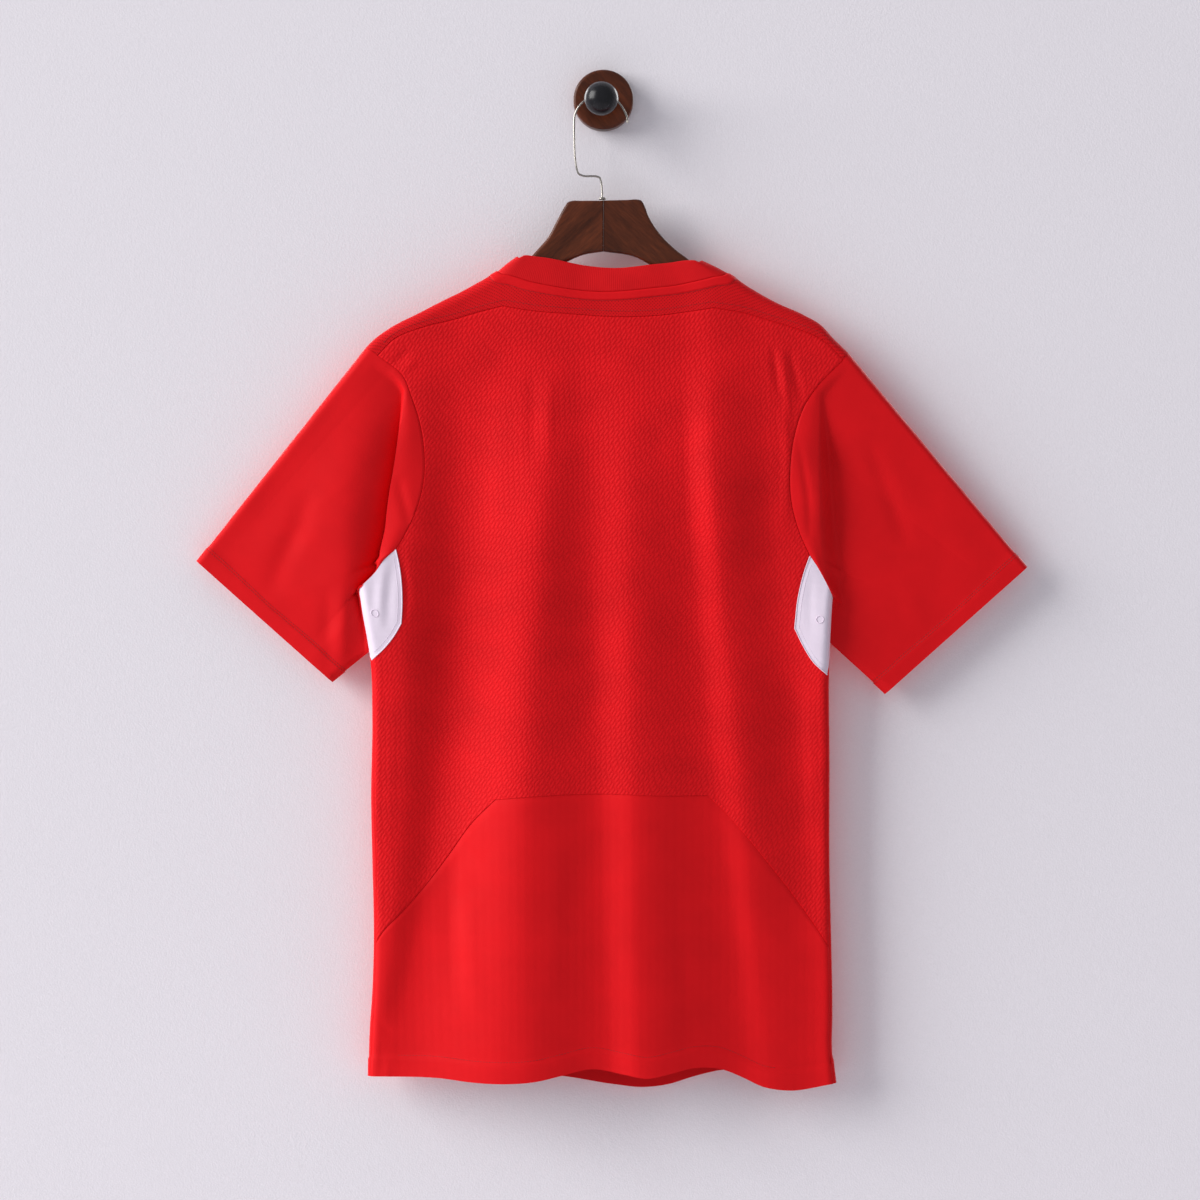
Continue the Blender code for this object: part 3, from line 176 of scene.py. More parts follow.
# White underarm gussets on the back: x, z
GUSSET_LEFT_TOP = [(-183.1, -399.6), (-193.4, -408.9), (-201.0, -419.5), (-216.2, -434.2)]
GUSSET_LEFT_INNER = [(-183.1, -399.6), (-180.3, -412.0), (-177.3, -444.1), (-178.1, -464.8)]
GUSSET_LEFT_LOWER = [(-178.1, -464.8), (-184.8, -476.2), (-192.5, -485.8), (-204.3, -496.9)]
GUSSET_RIGHT_TOP = [(182.2, -405.4), (188.0, -414.0), (195.5, -427.5), (202.6, -441.8)]
GUSSET_RIGHT_INNER = [(182.2, -405.4), (178.0, -416.9), (171.4, -445.0), (168.9, -469.2)]
GUSSET_RIGHT_LOWER = [(168.9, -469.2), (176.4, -484.6), (184.9, -498.3), (197.3, -510.0)]
EYELETS = {-1: (-201.3, -455.8), 1: (190.8, -461.2)}          # x, z on each side

# Side seams, from the gusset down to the hem: z, distance in from the outline
SIDE_SEAM_LEFT = [
    (-496.9, 1.7), (-583.0, 2.4), (-673.0, 4.0), (-747.7, 1.8), (-806.0, 2.6), (-864.6, 2.2)]
SIDE_SEAM_RIGHT = [
    (-510.0, 2.3), (-583.0, 2.8), (-680.0, 2.2), (-751.3, 1.8), (-806.0, 2.4), (-871.2, 2.0)]

# Front seams, hidden against the wall: v is the way down from the shoulder line
YOKE_FRONT_LEFT = [(-199.0, 32.0), (-140.0, 36.0), (-84.0, 38.0)]                  # x, v
YOKE_FRONT_RIGHT = [(100.0, 38.0), (156.0, 36.0), (210.0, 31.0)]                   # x, v
NECK_BACK = [    # x, v
    (-84.0, 38.0), (-91.0, 20.0), (-93.6, 0.0), (-90.8, -8.5), (-79.8, -14.6), (-63.7, -23.2),
    (-46.1, -29.0), (-18.8, -34.2), (15.1, -35.2), (41.9, -32.6), (64.5, -28.4), (82.4, -21.4),
    (95.9, -14.6), (107.0, -8.0), (110.5, 0.0), (107.0, 20.0), (100.0, 38.0)]
NECK_FRONT_DEPTH = 34.0
NECK_FRONT_POWER = 2.4
ARMHOLE_FRONT_LEFT = [    # x, z
    (-180.0, -262.0), (-170.0, -305.0), (-170.0, -360.0), (-182.0, -415.0), (-197.0, -462.0)]
ARMHOLE_FRONT_RIGHT = [    # x, z
    (190.0, -262.0), (180.0, -305.0), (178.0, -355.0), (184.0, -405.0), (192.0, -452.0)]
FRONT_HEM = [    # x, z
    (-180.0, -866.0), (-110.0, -867.0), (-40.0, -867.0), (9.8, -874.5), (34.0, -877.2), (57.7, -874.8),
    (80.0, -868.0), (105.8, -862.0), (150.0, -866.0)]
UNDERARM_LEFT = (-489.0, -3.7)    # z, and how far round the side towards the wall
UNDERARM_RIGHT = (-481.0, -3.7)

# Collar band, a row a place round the neck (0 left, 1 right, 2 left again by the front), and
# the way from its seam to its top edge: place, x, y, z
COLLAR_BAND = [
    (0.0, 16.7, 0.0, 12.5), (0.07, 10.2, 0.6, 18.2), (0.147, 6.7, 1.2, 21.6), (0.37, 1.8, 2.6, 21.9),
    (0.53, -1.0, 2.8, 20.4), (0.775, -6.5, 1.4, 19.4), (0.862, -10.4, 0.8, 17.6),
    (0.93, -16.0, 0.3, 14.6), (1.0, -22.4, 0.0, 11.2), (1.07, -18.0, 0.0, 14.0),
    (1.2, -12.0, -0.4, 18.0), (1.5, 0.0, -2.0, 21.0), (1.8, 11.0, -0.4, 18.0), (1.93, 15.5, 0.0, 14.0),
    (2.0, 16.7, 0.0, 12.5)]

# Sleeves: cuff corners x, y, z; fold line beside the armhole z, x; and round the armhole the
# place, fold share, y of the valley behind the fold, y of the crest past it, least width of the
# strip beside the seam and width of the step down from it
SLEEVE_LEFT = {
    "side": -1.0,
    "cuff_top": (-360.8, -14.0, -409.5),
    "cuff_low": (-240.6, -17.0, -516.3),
    "cuff_half": 6.0,
    "fold": [(-520.0, -190.0), (-436.0, -207.0), (-416.9, -197.9), (-400.1, -196.0), (-382.5, -192.2),
             (-364.9, -190.4), (-347.3, -188.2), (-329.7, -185.2), (-312.1, -182.5),
             (-294.5, -179.9), (-250.0, -174.0)],
    "crest_x": -228.0,
    "rows": [(-1.0, 0.0, -28.0, -32.0, 3.4, 8.0), (1.0, 0.0, -28.0, -32.0, 3.4, 8.0),
             (1.1, 0.3, -27.5, -33.0, 3.4, 8.0), (1.22, 0.65, -26.0, -34.0, 3.4, 4.0),
             (1.4, 1.0, -22.0, -35.0, 3.4, 1.5), (1.6, 1.0, -21.0, -36.0, 3.4, 1.5),
             (1.8, 1.0, -21.0, -36.0, 3.4, 1.5), (2.0, 1.0, -21.5, -36.0, 3.4, 1.5),
             (2.3, 1.0, -23.0, -35.7, 2.0, 1.3), (2.5, 1.0, -24.0, -35.3, 0.6, 0.9),
             (2.75, 1.0, -25.0, -34.7, 0.4, 0.8), (3.0, 1.0, -26.0, -34.0, 0.6, 1.6),
             (3.45, 0.95, -26.0, -32.5, 0.6, 2.0), (3.8, 0.6, -25.5, -30.0, 1.5, 2.5),
             (4.0, 0.0, -25.0, -28.0, 2.5, 3.0), (5.0, 0.0, -25.0, -28.0, 2.5, 3.0)],
    "creases": [([(-229, -430), (-231, -470), (-231, -520)], 8.0, 1.0),
                ([(-243, -430), (-244, -465), (-243, -515)], 7.0, -0.8),
                ([(-258, -345), (-268, -375), (-284, -410), (-296, -440)], 10.0, -1.8),
                ([(-300, -330), (-315, -355), (-335, -380)], 14.0, 0.8),
                ([(-181, -335), (-179, -347), (-174, -366), (-172, -378)], 3.5, -1.4)],
}
SLEEVE_RIGHT = {
    "side": 1.0,
    "cuff_top": (375.4, -18.0, -415.0),
    "cuff_low": (250.0, -18.0, -526.9),
    "cuff_half": 6.0,
    "fold": [(-520.0, 180.0), (-441.0, 194.0), (-423.9, 192.6), (-400.1, 190.8), (-364.9, 189.9),
             (-329.7, 189.7), (-294.5, 189.7), (-261.5, 189.6), (-230.0, 189.0)],
    "crest_x": 238.0,
    "rows": [(-1.0, 0.0, -28.0, -30.0, 3.4, 6.0), (1.0, 0.0, -28.0, -30.0, 3.4, 6.0),
             (1.22, 0.35, -27.0, -28.5, 3.4, 9.0), (1.4, 1.0, -25.0, -27.5, 3.4, 12.0),
             (1.8, 1.0, -24.0, -26.5, 3.4, 14.0), (2.0, 1.0, -24.0, -26.0, 3.4, 14.0),
             (2.3, 1.0, -24.5, -26.0, 2.0, 12.0), (2.5, 1.0, -25.0, -26.0, 0.7, 10.0),
             (2.75, 1.0, -25.0, -26.0, 0.6, 8.0), (3.0, 1.0, -25.5, -26.0, 0.6, 5.0),
             (3.45, 0.85, -25.5, -25.5, 0.6, 3.0), (3.8, 0.3, -25.5, -25.5, 2.0, 3.0),
             (4.0, 0.0, -25.5, -25.5, 3.4, 3.0), (5.0, 0.0, -25.5, -25.5, 3.4, 3.0)],
    "creases": [([(232, -300), (244, -330), (256, -360), (270, -400)], 8.0, -1.6),
                ([(300, -330), (312, -370), (330, -405)], 14.0, 0.6),
                ([(262, -420), (275, -450), (290, -480)], 10.0, 0.8),
                ([(172, -305), (178, -340), (181, -365), (181, -392)], 3.0, -1.3)],
}
CUFF_PLACE = [    # place at the armhole, at the cuff
    (-1.0, -0.06), (0.0, 0.0), (1.0, 0.07), (1.5, 0.22), (2.0, 0.42), (2.5, 0.58), (3.0, 0.77),
    (4.0, 1.0), (4.5, 1.45), (5.0, 1.94)]
STRIP_PROUD = 1.2      # the strip between armhole and fold stands this much proud
CUFF_R = 5.0           # rounding of the sleeve's two edges at the cuff
FRONT_SETTLE = 22.0    # the sleeve's wall side reaches its plane in this distance
OWN_FROM = 3.2         # between these places the sleeve's wall takes its own direction
OWN_TO = 3.9

SLEEVE_ROUND = 12.0    # least way from the step to the crest
STRIP_FULL = 10.0      # a strip of this width stands proud in full
FRONT_SHARE = 0.55     # share of the wall side's depth that it settles to at once
CREST_SOFT = 0.12      # softness of the turn at the crest, as a share of the way to the cuff
SLEEVE_CROWD = 1.1     # power by which rows lie closer together near the fold
CREASE_BEYOND = 12.0   # a sleeve's creases reach their height this far past the step
CREASE_STRIP = 3.0     # and this far in from both edges of the strip
CREASE_CUFF = (6.0, 0.35)   # fade beside the cuff: its way, and the share left at the cuff
CREASE_FRONT = 0.5     # share of the creases that shows on the wall side
LEAST_TURN = 0.25      # the fold line's slant is counted no flatter than this
FOLD_STEPS = 1200      # places tried along each row for the fold line

# Counts of cells along the seams
COLS_SIDE = 46
COLS_MIDDLE = 74
COLS_SHOULDER = 36
COLS_BOARD = 110
ROWS_BOARD = 30
ROWS_ARMHOLE = 72
ROWS_GUSSET = 26
COLS_GUSSET = 20
ROWS_SIDE = 80
ROWS_LOWER = 44
ROWS_YOKE = 32
ROWS_FRONT_ARMHOLE = 60
ROWS_UNDERARM = 4          # of the gusset's outer edge, below the armhole
COLS_SLEEVE = (10, 8, 56)  # the strip, the step and the rest
ROWS_COLLAR = 14
ROWS_CROWN = 8             # round the collar's top edge
HEM_CROWD = 1.4            # power by which rows lie closer together near the hem
COLLAR_CROWD = 1.3         # the same, near the collar's seam
COLUMNS = 2 * COLS_SIDE + COLS_MIDDLE

# ---- hanger and peg, mm
DISC_R = 26.7
DISC_DEPTH = 16.0
POST_R = 4.5
BALL_R = 15.0
BALL = (-1.8, -42.0, -2.4)
HANGER_THICK = 10.0
HANGER_ROUND = 3.0
DISC_LIP = 3.0         # rounding of the disc's front edge
DISC_BEVEL = 0.4       # and bevel of its back edge
DISC_DISH = (12.0, 8.0, 0.3)   # the front's shallow dish: outer and inner radius, depth
POST_IN_BALL = 5.0     # radius of the flat where the ball meets the post
POST_FOOT = 1.4        # the post's foot and neck are this much wider
POST_NECK = 0.6
POST_STEP = (1.0, 1.6) # height of the foot, and of the foot with its slope
POST_GAP = 0.3         # between post and ball
HOOK_R = 0.9
FERRULE = (2.3, 1.05, 1.6)     # radius of the bead's ring, of its section, and its height
WALNUT_DISC = 0.9      # direction of the grain, radians
WALNUT_ARM = 0.75
WALNUT_STREAK = 0.05   # how much darker the right half is
WALNUT_JOINT = 0.5     # how much the joint of the two halves darkens the wood
DISC_STEPS = 128       # cells round each turned piece, and along its arcs
BALL_STEPS = 96
POST_STEPS = 64
LIP_CELLS = 10
BALL_CELLS = 48
HOOK_CELLS = 260       # points along the wire and round it
HOOK_SIDES = 12
FERRULE_POINTS = 48    # points round the bead and round its section
FERRULE_SIDES = 16
WELD = 0.000002        # points nearer than this are merged, m
# Upper and lower edges of the hanger's halves, each from the joint out: x, z
HANGER_LEFT_TOP = [
    (-0.03, -90.9), (-20.0, -91.0), (-28.5, -91.2), (-31.5, -92.3), (-33.6, -95.0), (-40.0, -106.2),
    (-50.1, -124.7), (-60.0, -136.0), (-69.0, -146.0), (-79.0, -157.0), (-91.0, -164.5),
    (-105.1, -170.5), (-126.2, -179.0), (-152.6, -190.0), (-174.6, -200.5), (-186.0, -209.3),
    (-189.6, -214.0)]
HANGER_LEFT_UNDER = [
    (-0.03, -135.7), (-18.0, -138.8), (-35.7, -146.7), (-48.8, -153.7), (-69.0, -166.1),
    (-99.8, -182.8), (-135.0, -200.5), (-161.4, -212.8), (-182.8, -220.6), (-188.6, -218.6)]
HANGER_RIGHT_TOP = [
    (0.03, -90.7), (22.0, -90.2), (30.5, -89.9), (33.6, -90.7), (35.6, -93.5), (40.0, -104.5),
    (51.0, -121.4), (64.4, -134.8), (77.1, -144.6), (86.0, -156.0), (96.5, -164.0), (110.5, -170.0),
    (129.0, -177.5), (152.8, -188.5), (173.0, -197.6), (188.8, -207.0), (195.3, -213.0)]
HANGER_RIGHT_UNDER = [
    (0.03, -135.7), (27.8, -140.5), (46.7, -150.8), (56.8, -156.4), (76.2, -166.9), (102.6, -181.9),
    (137.8, -199.6), (164.2, -211.9), (183.6, -220.7), (192.4, -222.5), (196.4, -219.0)]
# Hook, from its free end over the post and down to the hanger: x, z
HOOK_ROUTE = [
    (21.6, -22.1), (20.6, -16.0), (18.2, -10.6), (13.3, -3.6), (6.5, 1.6), (-1.8, 3.4), (-10.0, 1.9),
    (-16.7, -2.2), (-22.2, -8.2), (-25.2, -14.8), (-25.9, -24.0), (-25.7, -35.6), (-24.7, -55.7),
    (-23.4, -63.0), (-21.6, -67.2), (-18.6, -68.6), (-10.0, -69.1), (-5.8, -69.4), (-3.2, -70.6),
    (-2.1, -73.6), (-1.3, -80.0), (-0.9, -90.5)]

# ---- cloth details, mm
SEAM_LINE = 0.35       # extra row beside each seam, as a share of the first cell
SEAM_DEPTH = 0.7       # the cloth dips this much into each seam
HEM_WIDTH = 17.6       # folded hem, up to its stitch rows
HEM_RISE = 0.8
HEM_BEFORE = 2.0       # the rise starts to end this far before the hem's width
HEM_STEP = 3.0         # and ends within this way
HEM_ROWS = (HEM_WIDTH - 1.2, HEM_WIDTH + 1.2)
HEM_INSET = 3.0        # the back's rows start this far in from the left side
HEM_CELLS = 300        # cells of the hem's line, and the part of it that the rows follow
HEM_PART = slice(11, -10)
CUFF_HEM = 15.0        # folded hem of the cuffs
CUFF_ROWS = (CUFF_HEM - 1.0, CUFF_HEM + 1.2)
TAPE_WIDTH = 7.4       # taped seam below the collar
TAPE_RISE = 0.7
TAPE_CELLS = 420       # cells of the neck's line, and the part of it that the tape follows
TAPE_PART = slice(36, -36)
TAPE_ROWS = 15         # points across the tape
TAPE_LIFT = 0.05       # the tape's edges lie this much over the yoke
TAPE_THICK = 0.6
TAPE_EDGE = 0.12       # share of the width over which the tape rises at each edge
TAPE_ENDS = 12.0       # the tape rises over one part in this many at each end
TAPE_STITCH = 1.9      # length of one stitch beside the tape
TAPE_ROW = 0.3         # and how far beside
COLLAR_BULGE = 0.8     # the band bows out this much at half height
PIPING_R = 0.5
PIPING_SIDES = 10
PIPING_PROUD = 0.3     # share of the piping's radius that its middle stands proud
PIPING_ROW = 3.6       # stitch row inside the piping
GUSSET_STITCH = 2.0
EYELET_R = 3.2
EYELET_WIRE = 0.4
EYELET_POINTS = 40
EYELET_SIDES = 8
EYELET_PROUD = 0.4     # share of the ring's wire that its middle stands proud
STITCH_R = 0.28
GRAIN_HALF = 0.36      # half length of a stitch's thread, as a share of its pitch
GRAIN_LOOK = 0.3       # way to both sides over which a stitch takes its direction
GRAIN_SIDES = 6
GRAIN_RINGS = [(-1.0, 0.45), (-0.7, 1.0), (0.7, 1.0), (1.0, 0.45)]  # place and thickness
YOKE_ROW = 5.0         # stitch row above the lower seam of the yoke
YOKE_PART = slice(4, -4)        # the part of the yoke's seam that its row follows
SEAM_PART = slice(3, -3)        # the same for the other rows
SHARP_CLOTH = 50.0     # edges bent by more than this are sharp, degrees
SHARP_TURNED = 40.0

# ---- finishes, m
SHEEN_ROUGHNESS = 0.35
SHEEN_TINT = (1.0, 0.35, 0.35, 1.0)
KNIT = {"sheen": 0.06, "specular": 0.06}      # satin knit shines little
THREAD = {"sheen": 0.1, "specular": 0.4}
WALE = 0.0009          # width of a knitted wale of the dashed and the white cloth
WALE_PLAIN = 0.0010
WALE_MESH = 0.0008
WALE_SHARE = 0.8       # height of a loop as a share of the wale's width
LOOP_SHARE = 0.45      # depth of the rows of loops as a share of the wales'
DASH_PITCH = (0.0078, 0.0029)   # of the raised dashes, along and across
DASH_HALF = 0.0021     # half length of a dash, and its radius
DASH_R = 0.0012
DASH_CHANCE = 0.6      # random shift of each row, as a share of the pitch
DASH_CORE = 0.35       # share of the radius inside which a bar is at its full height
DASH_BEND = 0.0022     # the dashes wander by up to this much
DASH_RISE = 0.00021
DASH_PAINTED_HIGHLIGHT = 0.16      # painted highlight: how much lighter a raised dash is painted than the ground
HOLE_PITCH = (0.0030, 0.0015)   # of the yoke's holes
HOLE_R = 0.00062
HOLE_DEPTH = 0.00018
# painted shade: how much darker each hole is painted, for the shade seen in it
HOLE_PAINTED_SHADE = 0.8
RIB_PITCH = 0.0017
RIB_RISE = 0.00005
# painted light and shade: rib crests painted lighter and the hollows between them darker
RIB_PAINTED_LIGHT = 0.08
THREAD_RISE = 0.00005
THREAD_TWIST = 900.0   # scale of the noise that stands for the thread's twist
WOOD_DRAWN = (1.0, 0.16, 0.16)  # size of the figure along and across the grain
JOINT_WIDTH = (0.0003, 0.0011)  # dark up to here, and faded out here
COAT = (0.05, 0.22)    # weight and roughness of the oil on the wood
PORES = 0.35           # shares of the pores and of the figure in the wood's shade
FIGURE = 0.75
PORE_DEPTH = 0.00006
PEEL_RISE = 0.00003    # of the lacquer
WALL_RISE = 0.0002
UNEVEN = 0.9           # share of the soft patches in the shade of dashed cloth and mesh
TINT_SPAN = (0.25, 0.75)        # a tint runs from dark to light over this part of its value
MIDDLING = (0.3, 0.7)  # the part of a noise's value that most of it lies in
LOOPS_RISE = 0.00004   # depth of the knit's loops, and of those under dashes or holes
LOOPS_UNDER = 0.00003
FUZZ_RED = 0.00006
FUZZ_WHITE = 0.00005
FUZZ_RIB = 0.00004

# ---- stage, m
KEY_AT = (-12.3, -4.2, 4.5)
KEY_SIZE = 10.0
KEY_COLOUR = (1.0, 0.985, 0.97)
REAR_AT = (2.0, 2.6, 0.8)       # one light there and one on the other side
REAR_SIZE = 1.5
ROOM_COLOUR = (0.93, 0.94, 1.0, 1.0)
JERSEY_MIDDLE = (0.0, -0.04, -0.42)
CAMERA_AT = (-0.003, -3.644, -0.4441)
CAMERA_LENS = 122.7
SENSOR = 36.0
WALL_GAP = 0.0005      # between the peg's disc and the wall
WALL_HALF = 2.6
WALL_TOP = 1.5
FLOOR_Z = -1.9


# ---- curves
def smooth(share):
    """From 0 to 1 with flat ends: three times the square less twice the cube."""
    u = np.clip(share, 0.0, 1.0)
    return u * u * (3.0 - 2.0 * u)


def spline(knots, values, at):
    """Cubic curve through the values at the knots, its slopes taken from their neighbours."""
    knots = np.asarray(knots, float)
    values = np.asarray(values, float).reshape(len(knots), -1)
    slopes = np.gradient(values, knots, axis=0)
    at = np.clip(np.asarray(at, float), knots[0], knots[-1])
    i = np.clip(np.searchsorted(knots, at, side="right") - 1, 0, len(knots) - 2)
    width = (knots[i + 1] - knots[i])[..., None]
    u = (at[..., None] - knots[i][..., None]) / width
    start = values[i] * (1 + 2 * u) * (1 - u) ** 2 + slopes[i] * width * u * (1 - u) ** 2
    end = values[i + 1] * u * u * (3 - 2 * u) - slopes[i + 1] * width * u * u * (1 - u)
    return start + end


def read(table, at):
    """Value of a two-column table of place and value, at any place."""
    rows = np.asarray(table, float)
    return spline(rows[:, 0], rows[:, 1], at)[..., 0]


def unit(ways):
    """The same directions, each of length one."""
    return ways / np.linalg.norm(ways, axis=-1, keepdims=True)


def circle(count):
    """Cosine and sine of points evenly round a circle."""
    turns = np.linspace(0.0, 2 * math.pi, count, endpoint=False)
    return np.cos(turns), np.sin(turns)


def lengths(points):
    """Way along a run of points, from 0 at the first."""
    steps = np.linalg.norm(np.diff(points, axis=0), axis=1)
    return np.concatenate([[0.0], np.cumsum(steps)])


def sample(points, cells):
    """Points spaced evenly along a smooth curve through the given ones."""
    points = np.asarray(points, float)
    knots = lengths(points)
    return spline(knots, points, np.linspace(0.0, knots[-1], cells + 1))


def chain(*runs):
    """Runs of points joined end to end, each shared point once."""
    return np.concatenate([runs[0]] + [run[1:] for run in runs[1:]])


def patch(top, bottom, left, right, fade=3):
    """Grid between four edges.

    Its rows run straight from left to right. The bends of the top and bottom
    edges, off their own straight lines, fade out with that power of the way to them.
    """
    s = np.linspace(0.0, 1.0, len(top))[None, :, None]
    t = np.linspace(0.0, 1.0, len(left))[:, None, None]
    across = (1 - s) * left[:, None, :] + s * right[:, None, :]
    bend_top = top - (1 - s) * top[0] - s * top[-1]
    bend_bottom = bottom - (1 - s) * bottom[0] - s * bottom[-1]
    return across + (1 - t) ** fade * bend_top + t ** fade * bend_bottom


# ---- the body's tube
def roundness(distance, radius):
    """Rise of a quarter circle of that radius: 0 at its foot, 1 from its top on."""
    u = 1.0 - np.clip(distance / radius, 0.0, 1.0)
    return np.sqrt(np.maximum(0.0, 1.0 - u * u))


def outline_x(side, z):
    """x of one side outline."""
    return read(LEFT_SIDE if side < 0 else RIGHT_SIDE, z)


def drop_below_shoulder(x, z):
    """Height of the shoulder line less the point's own."""
    return read(SHOULDER, x) - z


def edge_distance(x, z):
    """Distance in from the nearer side outline."""
    return np.minimum(x - outline_x(-1, z), outline_x(1, z) - x)


def mid_plane(x, z):
    """Plane between back and front: the hanger's, brought forward at the underarms by a bell
    over the height that fades out smoothly from the side inwards."""
    height = np.exp(-((z - UNDERARM_Z) / UNDERARM_REACH) ** 2)
    beside = 1.0 - smooth((edge_distance(x, z) - UNDERARM_EDGE) / UNDERARM_FADE)
    return HANG_Y - UNDERARM_FORWARD * height * beside


def half_depth(x, z, middle):
    """Half depth of the tube: it grows smoothly from the edges to the middle, times the rise
    of a quarter circle at the shoulder line and another at the side."""
    drop = drop_below_shoulder(x, z)
    edge = edge_distance(x, z)
    full = EDGE_DEPTH + (middle - EDGE_DEPTH) * smooth(drop / DEPTH_DROP) * smooth(edge / DEPTH_EDGE)
    return full * roundness(drop, RIDGE_R) * roundness(edge, SIDE_R)


def fold_height(x, z):
    """Height of the folds: flat-ended curves from each valley or crest line to the next."""
    lines = [(spline(FOLD_LEVELS, xs, z)[..., 0], spline(FOLD_LEVELS, heights, z)[..., 0])
             for xs, heights in FOLD_LINES]
    total = np.zeros(np.broadcast(x, z).shape)
    for (x_a, h_a), (x_b, h_b) in zip(lines[:-1], lines[1:]):
        inside = (x >= x_a) & (x < x_b)
        total = np.where(inside, h_a + (h_b - h_a) * smooth((x - x_a) / (x_b - x_a)), total)
    return total


def crease_height(x, z, creases):
    """Height of small creases: a bell across each line, faded at its ends by a power of half a sine.

    The bell is e to the power of minus the square of the distance over the width.
    """
    total = np.zeros(np.broadcast(x, z).shape)
    for line, width, height in creases:
        points = sample(line, CREASE_CELLS)
        nearest = np.full(total.shape, np.inf)
        share = np.zeros(total.shape)
        for k, (start, end) in enumerate(zip(points[:-1], points[1:])):
            run = end - start
            t = ((x - start[0]) * run[0] + (z - start[1]) * run[1]) / (run @ run)
            t = np.clip(t, 0.0, 1.0)
            gap = np.hypot(x - start[0] - t * run[0], z - start[1] - t * run[1])
            share = np.where(gap < nearest, (k + t) / CREASE_CELLS, share)
            nearest = np.minimum(gap, nearest)
        bell = np.exp(-(nearest / width) ** 2)
        total += height * bell * np.sin(math.pi * share) ** CREASE_TAPER
    return total


def hem_height(distance, width):
    """The folded hem stands a little proud, up to a smooth step at its stitch rows."""
    return HEM_RISE * (1.0 - smooth((distance - width + HEM_BEFORE) / HEM_STEP))


def back_y(x, z):
    """y of the back: the middle plane less the half depth, the folds and the creases."""
    height = fold_height(x, z) + crease_height(x, z, CREASES)
    return mid_plane(x, z) - half_depth(x, z, BACK_DEPTH) - height


def front_y(x, z):
    """y of the front: the middle plane and its half depth, less a share of the mirrored folds."""
    height = fold_height(-x, z) + crease_height(-x, z, CREASES)
    return mid_plane(x, z) + half_depth(x, z, FRONT_DEPTH) - FRONT_FOLDS * height


def round_way(distance, radius):
    """Way over a rounded edge for a distance in from it, and 0 on the edge itself.

    It is the arc of the quarter circle, from the arc cosine, and then straight on.
    """
    inside = radius * np.arccos(np.clip(1.0 - distance / radius, -1.0, 1.0))
    return np.where(distance < radius, inside, distance - radius + radius * math.pi / 2)


def in_from_edge(way, radius):
    """The other way about: distance in from a rounded edge for a way over it."""
    way = np.abs(way)
    quarter = radius * math.pi / 2
    return np.where(way < quarter, radius * (1 - np.cos(way / radius)), way - quarter + radius)


def back_point(x, z):
    """Point of the back."""
    return np.stack([x, back_y(x, z), z], axis=-1)


def shoulder_point(x, v):
    """Point of the yoke, v being its way from the shoulder line, negative on the back."""
    z = read(SHOULDER, x) - in_from_edge(v, RIDGE_R)
    return np.stack([x, np.where(v < 0, back_y(x, z), front_y(x, z)), z], axis=-1)


def side_point(side, q, z):
    """Point of a gusset, q being its way from the side outline, positive on the back."""
    x = outline_x(side, z) - side * in_from_edge(q, SIDE_R)
    return np.stack([x, np.where(q > 0, back_y(x, z), front_y(x, z)), z], axis=-1)


def front_point(c, z):
    """Point of the front: c is x on its flat, and runs on round both sides to the back."""
    flat = SIDE_R - SIDE_R * math.pi / 2
    left = outline_x(-1, z)
    right = outline_x(1, z)
    q_left = left + flat - c
    q_right = c - right + flat
    nearer_left = q_left > q_right
    q = np.where(nearer_left, q_left, q_right)
    inward = in_from_edge(q, SIDE_R)
    x = np.where(nearer_left, left + inward, right - inward)
    return np.stack([x, np.where(q > 0, back_y(x, z), front_y(x, z)), z], axis=-1)


def front_c(side, q, z):
    """The front's coordinate c for a way q round one side."""
    flat = SIDE_R - SIDE_R * math.pi / 2
    return outline_x(side, z) + side * (q - flat)


def on_surface(surface, first, second, sign):
    """Points of a surface and its outward directions, from its slopes along both coordinates."""
    along = surface(first + SLOPE_STEP, second) - surface(first - SLOPE_STEP, second)
    up = surface(first, second + SLOPE_STEP) - surface(first, second - SLOPE_STEP)
    return surface(first, second), unit(sign * np.cross(along, up))


# ---- seams, row by row
def to_x(side, ways):
    """x and z of points of the back given by their way q round one side, and z."""
    x = outline_x(side, ways[:, 1]) - side * in_from_edge(ways[:, 0], SIDE_R)
    return np.stack([x, ways[:, 1]], axis=-1)


def to_q(side, points):
    """The other way about: way round one side, and z, of points of the back."""
    inward = side * (outline_x(side, points[:, 1]) - points[:, 0])
    return np.stack([round_way(inward, SIDE_R), points[:, 1]], axis=-1)


def to_v(points):
    """x and way down from the shoulder line, negative on the back, of points of the back."""
    drop = drop_below_shoulder(points[:, 0], points[:, 1])
    return np.stack([points[:, 0], -round_way(drop, RIDGE_R)], axis=-1)


def side_seam(side):
    """Side seam from the gusset to the hem, in q and z, closer together by the hem."""
    seam = np.asarray((SIDE_SEAM_LEFT if side < 0 else SIDE_SEAM_RIGHT)[::-1])
    corner = (LOWER_LEFT[0] if side < 0 else LOWER_RIGHT[-1])[1]
    down = 1.0 - (1.0 - np.linspace(0.0, 1.0, ROWS_LOWER + 1)[1:]) ** HEM_CROWD
    z = np.concatenate([np.linspace(seam[-1, 0], corner, ROWS_SIDE + 1),
                        corner + (seam[0, 0] - corner) * down])
    return np.stack([round_way(read(seam, z), SIDE_R), z], axis=-1)


